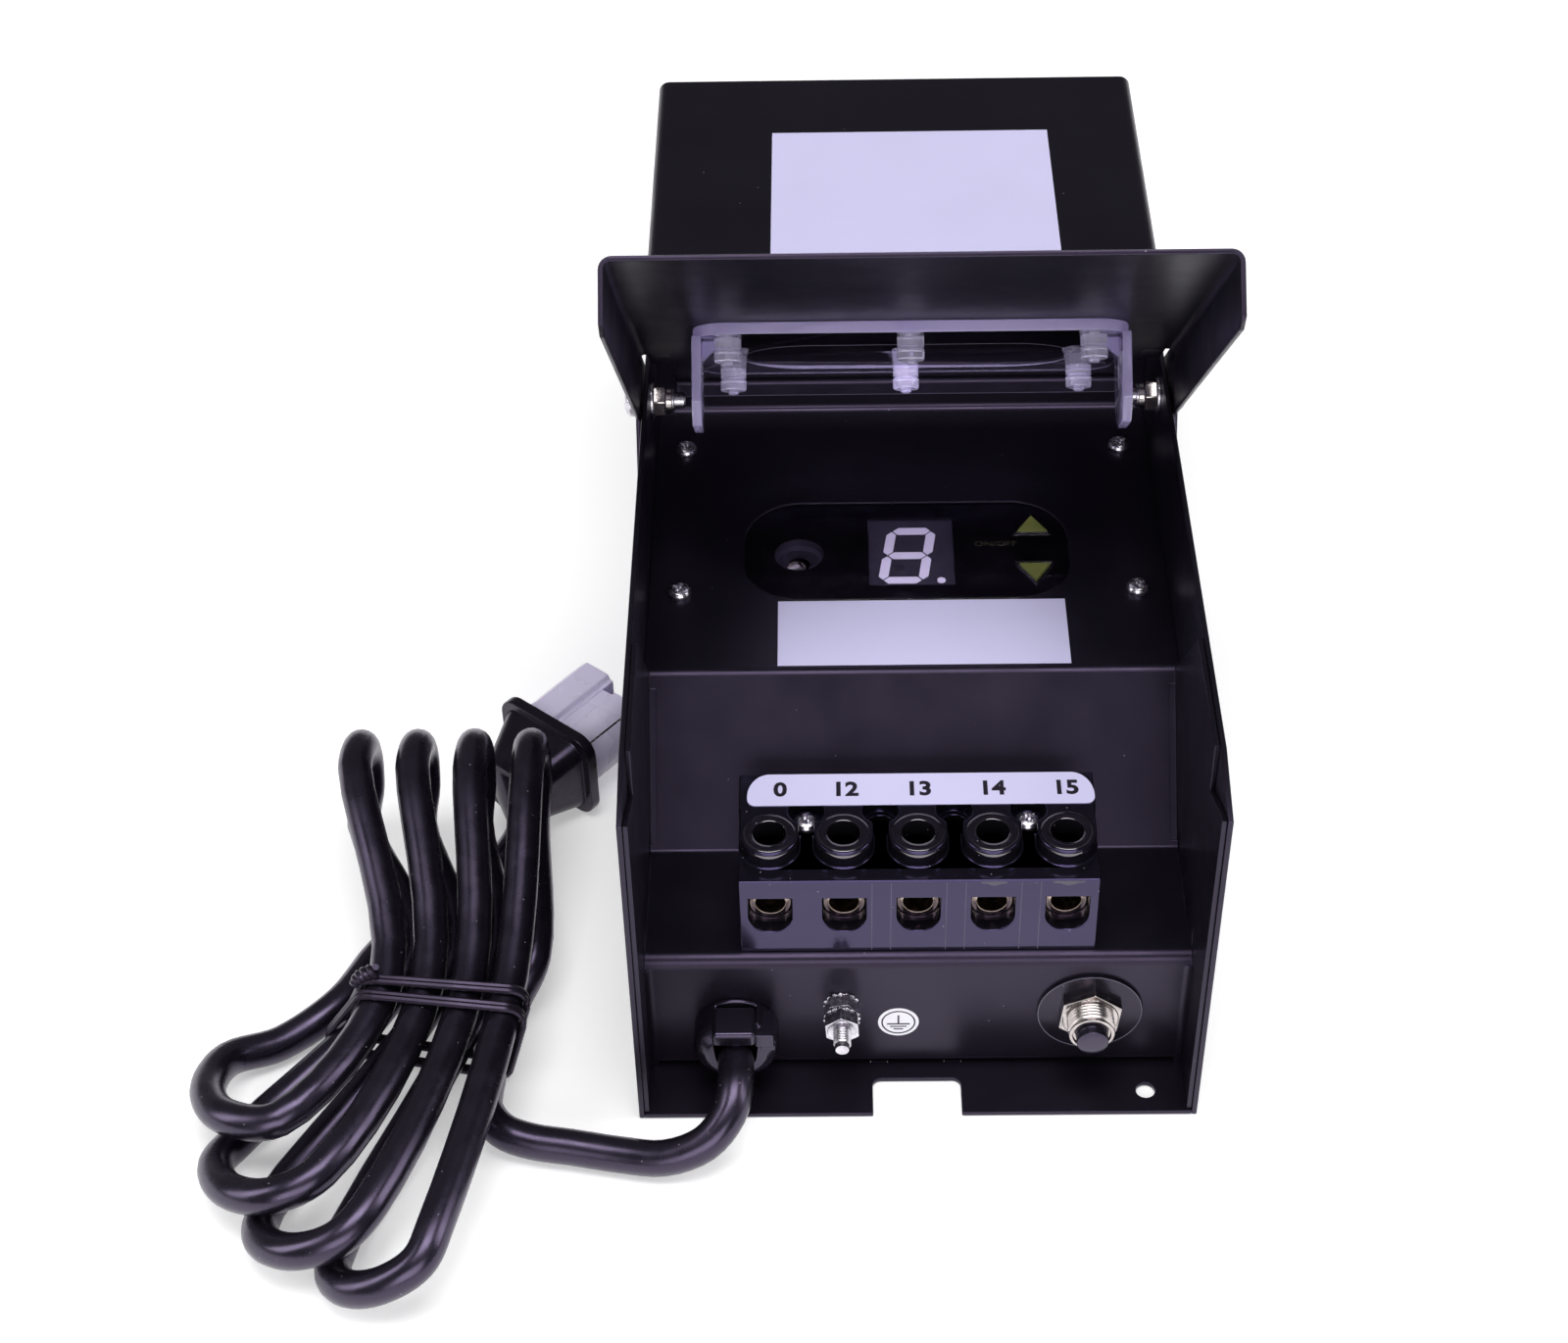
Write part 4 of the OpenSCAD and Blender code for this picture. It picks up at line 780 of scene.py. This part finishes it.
class TRANSFORMER_OT_door(bpy.types.Operator):
    """Finish the door and its clear window"""

    bl_idname = "transformer.door"
    bl_label = "Door"

    def execute(self, context):
        edge = context.scene.transformer_look.case.edge
        dressed("powder coat", edge * 1.4, "door")
        self.shoulders(edge / MM)
        place, low, top = on_door(), 5.4, 8.2
        plate = rounded_outline(99, 54, [(8, 8)] * 4, 12)
        bm = prism(None, [(x, y - 32.0) for x, y in plate], low, top, place, 0.35, 3, 40.0)
        # A thin wall round the opening takes the edge finish: a painted bright outline of the opening's edge.
        oval = rounded_outline(77, 31, [(15.4, 15.4)] * 4, 16)
        standing_line(bm, [(x, y - 28.0) for x, y in oval], low - 0.04, low + 0.01, place)
        window = instead("door_window_plate", bm, "clear", "door_window")
        self.paint_edge_glow(window, place.to_3x3() @ Vector((0, 0, 1)))
        self.legs(place, low, -59.0)
        self.pegs(place, low)
        return {"FINISHED"}

    def paint_edge_glow(self, piece, across):
        """Paints the faces round a sheet's rim in a milky finish, a painted glow for the light that a clear
        edge gathers.
        """
        piece.data.materials.append(finish_named("clear edge"))
        across = across.normalized()
        for face in piece.data.polygons:
            if abs(face.normal.dot(across)) < 0.9:
                face.material_index = 1

    def legs(self, place, low, near):
        """The window's two legs under the plate's near edge, with a rib in each corner."""
        leg = [(near + 1.2, low + 0.1), (near + 0.9, -9.6), (near + 5, -14.6), (near + 15, -14.6),
               (near + 19, -9.6), (near + 19, low + 0.1)]
        bm = bmesh.new()
        for x in (-49.5, 47.3):
            prism(bm, leg, x, x + 2.2, place @ SIDEWAYS, 0.35)
        for side in (-1, 1):
            rib = [(side * 47.4, low + 0.2), (side * 42.6, low + 0.2), (side * 47.4, low - 4.6)]
            prism(bm, rib, 47.9, 50.1, place @ FACING, 0.2)
        self.paint_edge_glow(finished("door_window_legs", bm, "clear leg", "door_window"), Vector((1, 0, 0)))

    def pegs(self, place, low):
        profile = [(0.0, low + 0.3), (3.1, low + 0.3), (3.05, 3.2), (2.75, 2.95), (2.75, 2.75), (3.15, 2.55),
                   (3.1, 0.5), (2.8, 0.2), (1.3, 0.15), (1.2, -0.5), (0.9, -0.7), (0.0, -0.75)]
        bm = bmesh.new()
        for x in (-41.5, 0.0, 41.5):
            for y in (-52.0, -12.0):
                turned(bm, profile, place @ Matrix.Translation((x, y, 0)), 28)
        # Milky pegs: painted light that stands for their bright streaks.
        finished("door_window_pegs", bm, "clear peg", "door_window", crease=28.0)

    def shoulders(self, rounding):
        """The plate's shoulders between the side walls, and its lugs outside them."""
        bm = bmesh.new()
        for side in (-1, 1):
            for inner, outer, low, back, high in ((56.6, 61.9, 8.2, -5.5, 9.4), (63.9, 65.1, 6.4, 7.0, 10.0)):
                low_x, high_x = sorted((side * inner, side * outer))
                slab(bm, (low_x, -19.5, low), (high_x, back, high), on_door(), rounding)
        finished("door_shoulders", bm, "powder coat", "door")


class TRANSFORMER_OT_hinge(bpy.types.Operator):
    """Make the hinge bolts with their washers and lock nuts"""

    bl_idname = "transformer.hinge"
    bl_label = "Hinge hardware"

    def execute(self, context):
        dressed("zinc", 0.0002, "hinge_bolts")
        dressed("zinc", 0.0001, "hinge_washers")
        dressed("nickel", 0.0003, "hinge_nuts", segments=3)
        bolt_end = [(0.0, 53.7), (1.5, 53.7), *thread(1.98, 1.68, 0.7, 54.0, 57.6), (0.0, 57.6)]
        nut_collar = [(2.3, 56.86), (3.05, 56.86), (3.05, 56.6), (2.7, 56.42), (2.3, 56.6), (2.3, 56.86)]
        bm = bmesh.new()
        for side in (-1, 1):
            place = placed(0, *HINGE, Matrix.Rotation(side * pi / 2, 4, "Y"))
            turned(bm, bolt_end, place, 24)
            turned(bm, nut_collar, place, 32)
        finished("hinge_thread_ends", bm, "zinc", "hinge_bolts")
        return {"FINISHED"}


class TRANSFORMER_OT_screws(bpy.types.Operator):
    """Finish the cross-recess screws of the panel and of the terminal block"""

    bl_idname = "transformer.screws"
    bl_label = "Screws"

    def execute(self, context):
        dressed("zinc", 0.00012, "panel_screws", "block_screws")
        return {"FINISHED"}


class TRANSFORMER_OT_control(bpy.types.Operator):
    """Build the control window: lens, mask, display, figure, photocell and print"""

    bl_idname = "transformer.control"
    bl_label = "Control window"

    def execute(self, context):
        dressed("lens", 0.0005, "control_lens", segments=3)
        # A thin lavender-grey line round the lens: a painted highlight for its bright rim.
        rim = rounded_outline(78.7, 36.5, [(13.9, 13.9)] * 4, 16)
        bm = standing_line(None, rim, 66.78, 66.83, placed(0, 121.1, 0))
        finished("lens_rim", bm, "faint line", "control_lens")
        for name, finish, node, steps, place, profile in (
                ("display_dimple", "sensor", "photocell", 24, (-1.9, 116.9, 64.05),
                 ((0.0, 0.0), (1.25, 0.0), (1.2, 0.12), (0.9, 0.3), (0.5, 0.38), (0.0, 0.4))),
                ("sensor_cup", "nickel", "photocell", 28, (-26.8, 118.4, 61.2),
                 ((0.0, 0.0), (1.75, 0.0), (2.15, 1.0), (1.95, 1.05), (1.45, 0.35), (0.7, 0.3), (0.5, 0.75),
                  (0.0, 0.8))),
                ("sensor_well", "well", "control_housing", 48, (-26.2, 121.1, 0),
                 ((2.7, 61.6), (5.4, 61.6), (6.2, 62.4), (6.3, 64.2), (6.5, 64.2), (6.5, 61.2), (2.7, 61.2),
                  (2.7, 61.6)))):
            finished(name, turned(None, profile, placed(*place), steps), finish, node)
        dressed("mask", 0.0, "lens_mask")
        dressed("black moulding", 0.0003, "control_housing")
        dressed("board", 0.0002, "control_board")
        dressed("black moulding", 0.0002, "key_switches")
        dressed("display", 0.0003, "digit_display")
        dressed("segment", 0.0, "digit_segments")
        dressed("sensor", 0.0, "photocell")
        letters("switch_marks", "ON/OFF", 2.6, placed(21.9, 124.4, 64.84), "dim print", depth=0.04, wide=1.1)
        return {"FINISHED"}


class TRANSFORMER_OT_keys(bpy.types.Operator):
    """Finish the up key and the down key"""

    bl_idname = "transformer.keys"
    bl_label = "Keys"

    def execute(self, context):
        dressed("olive", 0.00015, "up_key", "down_key")
        return {"FINISHED"}


class TRANSFORMER_OT_labels(bpy.types.Operator):
    """Finish the bare label films and the plain numbers of the terminals"""

    bl_idname = "transformer.labels"
    bl_label = "Labels"

    def execute(self, context):
        dressed("film", 0.00008, "guide_label", "rating_label")
        low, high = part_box("terminal_strip")
        height = (high[1] - low[1]) / MM
        middle = (low[1] + high[1]) / 2 / MM - BOTTOM_END
        outline = rounded_outline(77.4, height, [(5.0, 7.0)] * 2 + [(1.8, 2.2)] * 2, 12)
        bm = prism(None, outline, low[2] / MM, high[2] / MM, placed(0.9, middle, 0), 0.08)
        instead("terminal_strip_film", bm, "film", "terminal_strip", even=True)
        for i, figure in enumerate(("0", "12", "13", "14", "15")):
            place = placed((i - 2) * PITCH + (2.4 if i == 0 else 0.5), 40.6, high[2] / MM + 0.04)
            letters(f"terminal_number_{i + 1}", figure, 6.0, place, "ink", "terminal_strip", bold=0.2)
        return {"FINISHED"}


class TRANSFORMER_OT_terminals(bpy.types.Operator):
    """Finish the terminal block with its clamps and screws"""

    bl_idname = "transformer.terminals"
    bl_label = "Terminals"

    def execute(self, context):
        dressed("gloss block", 0.0004, "terminal_block", segments=3)
        dressed("clamp metal", 0.0002, "terminal_barrels", "terminal_screws")
        bm = bmesh.new()
        for pole, side in ((-1, 6.1), (0, -6.1), (0, 6.1), (1, -6.1), (1, 6.1), (2, -6.1)):
            x = pole * PITCH + side
            slab(bm, (x - 0.07, 16.985, 37.7), (x + 0.07, 17.05, 59.4), placed(0, 0, 0))
        finished("block_seams", bm, "seam", "terminal_block")
        bm = bmesh.new()
        for pole, width in ((1, 2.9), (2, 3.6)):
            edge = [(pole * PITCH + width * cos(a), -1.1 * abs(sin(a)) * (1 + 0.25 * sin(5 * a)))
                    for a in (pi * k / 18 for k in range(19))]
            prism(bm, edge, -0.02, 0.04, placed(0, 17.0, 59.55, FACING))
        finished("block_scuffs", bm, "scuff", "terminal_block")
        rim = [(3.7, -0.2), (3.7, 0.02), (3.95, 0.14), (5.1, 0.14), (5.6, 0.1), (6.05, -0.1), (6.4, -0.45),
               (6.55, -0.9), (6.58, -1.5), (6.4, -1.6)]
        bm = bmesh.new()
        for pole in range(-2, 3):
            turned(bm, rim, placed(pole * PITCH, 27.6, 64.4), 56)
        finished("tower_rims", bm, "gloss rim", "terminal_block")
        return {"FINISHED"}


class TRANSFORMER_OT_relief(bpy.types.Operator):
    """Finish the strain relief and build the clamp that stands for its wedge"""

    bl_idname = "transformer.relief"
    bl_label = "Strain relief"

    def execute(self, context):
        dressed("relief nylon", 0.0005, "strain_relief", segments=3)
        place = on_bottom_face(*RELIEF)
        bm = slab(None, (-5.2, 4.6, 1.6), (4.6, 8.8, 10.4), place, 1.1, 4)
        slab(bm, (-4.2, 4.25, 1.6), (4.2, 5.2, 9.3), place, 0.3)
        slab(bm, (4.3, 3.4, 1.6), (8.7, 7.4, 9.5), place, 0.5)
        slab(bm, (5.6, 2.2, 8.2), (8.9, 3.8, 9.3), place, 0.2)
        instead("relief_clamp", bm, "relief nylon", "relief_wedge", even=True)
        return {"FINISHED"}


class TRANSFORMER_OT_ground(bpy.types.Operator):
    """Build the ground stud with its thread, nuts, toothed washers and mark"""

    bl_idname = "transformer.ground"
    bl_label = "Ground stud"

    def execute(self, context):
        place = on_bottom_face(-17.1, 22.5)
        stud = [(0.0, -2.2), (3.5, -2.2), (3.5, -1.2), (2.0, -1.2), *thread(2.0, 1.66, 0.7, -1.0, 12.9),
                (1.5, 13.6), (0.0, 13.6)]
        instead("ground_stud_threaded", turned(None, stud, place, 28), "zinc", "ground_stud")
        bm = bmesh.new()
        for low, turn in ((0.65, 10), (4.85, 34)):
            prism(bm, hexagon_outline(7.4, turn), low, low + 3.3, place, 0.22)
            turned(bm, [(1.9, low + 3.1), (3.2, low + 3.44), (3.5, low + 3.15)], place, 32)
        instead("ground_nuts_hex", bm, "zinc", "ground_nuts", even=True)
        outline = []
        for k in range(16):
            for part, radius in ((0.0, 4.2), (0.42, 4.2), (0.55, 3.8), (0.87, 3.8)):
                a = 2 * pi * (k + part) / 16
                outline.append((radius * cos(a), radius * sin(a)))
        bm = bmesh.new()
        for low in (0.0, 4.2):
            prism(bm, outline, low + 0.05, low + 0.6, place, 0.1)
        instead("ground_washers_toothed", bm, "zinc", "ground_washers")
        dressed("white film", 0.00005, "ground_label")
        self.mark(on_bottom_face(-4.2, 16.2), 0.2, 0.24)
        return {"FINISHED"}

    def mark(self, place, low, high):
        """The earth sign in its ring."""
        bm = bmesh.new()
        for left, right in (((-0.2, -0.5), (0.2, 2.4)), ((-2.6, -0.75), (2.6, -0.35)),
                            ((-1.9, -1.6), (1.9, -1.25)), ((-1.1, -2.45), (1.1, -2.1))):
            slab(bm, (*left, low), (*right, high), place)
        turned(bm, [(3.55, low), (3.55, high), (3.9, high), (3.9, low), (3.55, low)], place, 48)
        finished("ground_mark", bm, "ink", "ground_label")


class TRANSFORMER_OT_breaker(bpy.types.Operator):
    """Build the breaker with its threaded neck, ring plate, nut and reset button"""

    bl_idname = "transformer.breaker"
    bl_label = "Breaker"

    def execute(self, context):
        place = on_bottom_face(39.1, 19.8)
        bm = slab(None, (-7.5, -15.5, -31.2), (7.5, 15.5, -1.2), place, 0.5)
        finished("breaker_housing", bm, "black moulding", "breaker_ring", even=True)
        neck = [(3.72, -2.4), (5.0, -2.4), *thread(5.3, 4.75, 0.85, -1.2, 6.9), (5.1, 7.1), (5.1, 7.5),
                (4.95, 7.6), (4.4, 7.6), (4.25, 7.4), (4.2, 6.9), (3.72, 6.8), (3.72, -2.4)]
        instead("breaker_neck", turned(None, neck, place, 48), "nickel", "breaker_body")
        ring = [(5.2, 0.0), (12.0, 0.0), (12.0, 0.62), (11.85, 0.8), (5.2, 0.8), (5.2, 0.0)]
        instead("breaker_ring_plate", turned(None, ring, place, 72), "ring print", "breaker_ring")
        bm = prism(None, hexagon_outline(13.4, 24), 0.8, 2.75, place, 0.25)
        turned(bm, [(5.15, 2.6), (5.35, 2.95), (6.2, 2.95), (6.45, 2.7)], place, 48)
        instead("breaker_nut_hex", bm, "nickel", "breaker_nut", even=True)
        # A thin lavender-grey ring at the plate's outer edge: a painted highlight for its rim.
        line = [(11.68, 0.8), (11.68, 0.86), (11.84, 0.86), (11.84, 0.8), (11.68, 0.8)]
        finished("ring_line", turned(None, line, place, 72), "faint line", "breaker_ring")
        button = [(0.0, 1.6), (3.6, 1.6), (3.6, 9.6), (3.52, 9.85), (3.3, 10.0), (1.8, 10.08), (0.0, 10.1)]
        instead("reset_button_moulded", turned(None, button, place, 48), "button", "reset_button")
        return {"FINISHED"}


class TRANSFORMER_OT_inside(bpy.types.Operator):
    """Finish the iron core, the windings and the relay inside the closed case"""

    bl_idname = "transformer.inside"
    bl_label = "Inside parts"

    def execute(self, context):
        dressed("iron", 0.0003, "iron_core")
        dressed("copper", 0.001, "primary_winding", "secondary_winding", segments=3)
        dressed("black moulding", 0.0003, "coil_bobbin")
        dressed("zinc", 0.0003, "core_bolts", "core_spacers")
        dressed("relay", 0.0008, "power_relay", segments=3)
        return {"FINISHED"}


class TRANSFORMER_OT_stage(bpy.types.Operator):
    """Set the camera, the soft lamps and the pale floor"""

    bl_idname = "transformer.stage"
    bl_label = "Stage"

    def execute(self, context):
        scene = context.scene
        light = scene.transformer_look.light
        scene.view_settings.view_transform = "Standard"
        self.camera(scene)
        self.floor(scene, light)
        self.lamps(scene, light)
        self.surroundings(scene, light)
        return {"FINISHED"}

    def camera(self, scene):
        """The photograph's own viewpoint."""
        camera = bpy.data.cameras.new("camera")
        camera.sensor_width = 36.0
        camera.lens = 64.79
        camera.clip_start, camera.clip_end = 0.05, 20.0
        eye = bpy.data.objects.new("camera", camera)
        scene.collection.objects.link(eye)
        scene.camera = eye
        pitch, yaw, roll = 0.73984, 0.02024, -0.02344
        eye.matrix_world = (Matrix.Translation((-0.01987, -0.53897, 0.50926)) @ Matrix.Rotation(yaw, 4, "Z")
                            @ Matrix.Rotation(pi / 2 - pitch, 4, "X") @ Matrix.Rotation(roll, 4, "Z"))

    def floor(self, scene, light):
        """A pale floor that takes the shadow and looks white from far off and in reflections."""
        bm = bmesh.new()
        bmesh.ops.create_grid(bm, x_segments=1, y_segments=1, size=4.0)
        bmesh.ops.translate(bm, verts=bm.verts, vec=(0, 0, -0.0002))
        plane = bpy.data.objects.new("floor", mesh_of("floor", bm))
        scene.collection.objects.link(plane)
        pale = Surface("floor_white", light.floor, 0.9)
        pale.set({"Specular IOR Level": 0.0})
        away = added(pale.tree, "VectorMath", {0: pale.place}, operation="LENGTH").outputs["Value"]
        glow = added(pale.tree, "Emission", {"Strength": spread(pale.tree, away, 0.35, 1.0, 0.5, 1.3)})
        both = added(pale.tree, "AddShader", {0: pale.shader.outputs[0], 1: glow.outputs[0]})
        seen = seen_by(pale.tree, "Is Camera Ray", "Is Glossy Ray", "Is Transmission Ray")
        ended(pale.tree, seen, pale.shader, both)
        plane.data.materials.append(pale.material)

    def lamps(self, scene, light):
        """Soft lamps above, in front and at both sides, aimed at the middle of the case."""
        for name, place, size, share in (
                ("lamp_above", (0.0, -0.35, 1.45), (1.0, 0.6), 1.0),
                ("lamp_front", (0.05, -1.45, 0.6), (1.3, 0.75), 0.85),
                ("lamp_left", (-1.25, -0.25, 0.75), (0.5, 1.0), 0.55),
                ("lamp_right", (1.25, -0.15, 0.75), (0.5, 1.0), 0.55)):
            data = bpy.data.lights.new(name, "AREA")
            data.shape = "RECTANGLE"
            data.size, data.size_y = size
            data.energy = light.power * share
            lamp = bpy.data.objects.new(name, data)
            scene.collection.objects.link(lamp)
            lamp.location = place
            lamp.rotation_mode = "QUATERNION"
            lamp.rotation_quaternion = (Vector((0, 0, 0.05)) - Vector(place)).to_track_quat("-Z", "Y")

    def surroundings(self, scene, light):
        """Even light from all round, seen as plain white."""
        world = bpy.data.worlds.new("surroundings")
        scene.world = world
        world.use_nodes = True
        tree = world.node_tree
        even = fed(tree, tree.nodes["Background"], {"Color": (0.95, 0.94, 1.0, 1.0), "Strength": light.sky})
        white = added(tree, "Background", {"Strength": 1.0})
        ended(tree, seen_by(tree, "Is Camera Ray", "Is Transmission Ray"), even, white, "World Output")


STEPS = (
    TRANSFORMER_OT_stage, TRANSFORMER_OT_plug, TRANSFORMER_OT_cord, TRANSFORMER_OT_tie, TRANSFORMER_OT_case,
    TRANSFORMER_OT_door, TRANSFORMER_OT_hinge, TRANSFORMER_OT_screws, TRANSFORMER_OT_control,
    TRANSFORMER_OT_keys, TRANSFORMER_OT_labels, TRANSFORMER_OT_terminals, TRANSFORMER_OT_relief,
    TRANSFORMER_OT_ground, TRANSFORMER_OT_breaker, TRANSFORMER_OT_inside)


class TransformerLook(bpy.types.PropertyGroup):
    """All finishes and sizes of the dressed transformer."""

    case: bpy.props.PointerProperty(name="Case", description="Sheet metal", type=CaseFinish)
    metal: bpy.props.PointerProperty(name="Metal", description="Plated metal", type=MetalFinish)
    plastic: bpy.props.PointerProperty(name="Plastic", description="Plastic and film", type=PlasticFinish)
    cord: bpy.props.PointerProperty(name="Cord", description="Supply cord", type=CordFinish)
    light: bpy.props.PointerProperty(name="Light", description="Stage light", type=StageLight)


class TRANSFORMER_PT_panel(bpy.types.Panel):
    """Lists the steps that dress the transformer"""

    bl_idname = "TRANSFORMER_PT_panel"
    bl_label = "Landscape transformer"
    bl_space_type = "VIEW_3D"
    bl_region_type = "UI"
    bl_category = "Transformer"

    def draw(self, context):
        look = context.scene.transformer_look
        for step in STEPS:
            self.layout.operator(step.bl_idname)
        for group in (look.case, look.metal, look.plastic, look.cord, look.light):
            box = self.layout.box()
            for key in group.bl_rna.properties.keys():
                if key not in ("rna_type", "name"):
                    box.prop(group, key)


CLASSES = (CaseFinish, MetalFinish, PlasticFinish, CordFinish, StageLight, TransformerLook, *STEPS,
           TRANSFORMER_PT_panel)


def register():
    for cls in CLASSES:
        bpy.utils.register_class(cls)
    bpy.types.Scene.transformer_look = bpy.props.PointerProperty(
        name="Transformer look", description="Finishes of the transformer", type=TransformerLook)


def unregister():
    del bpy.types.Scene.transformer_look
    for cls in reversed(CLASSES):
        bpy.utils.unregister_class(cls)


def main():
    """Registers the add-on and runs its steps."""
    register()
    for step in STEPS:
        getattr(bpy.ops.transformer, step.bl_idname.split(".")[1])()
    bpy.context.view_layer.update()


if __name__ == "__main__":
    main()
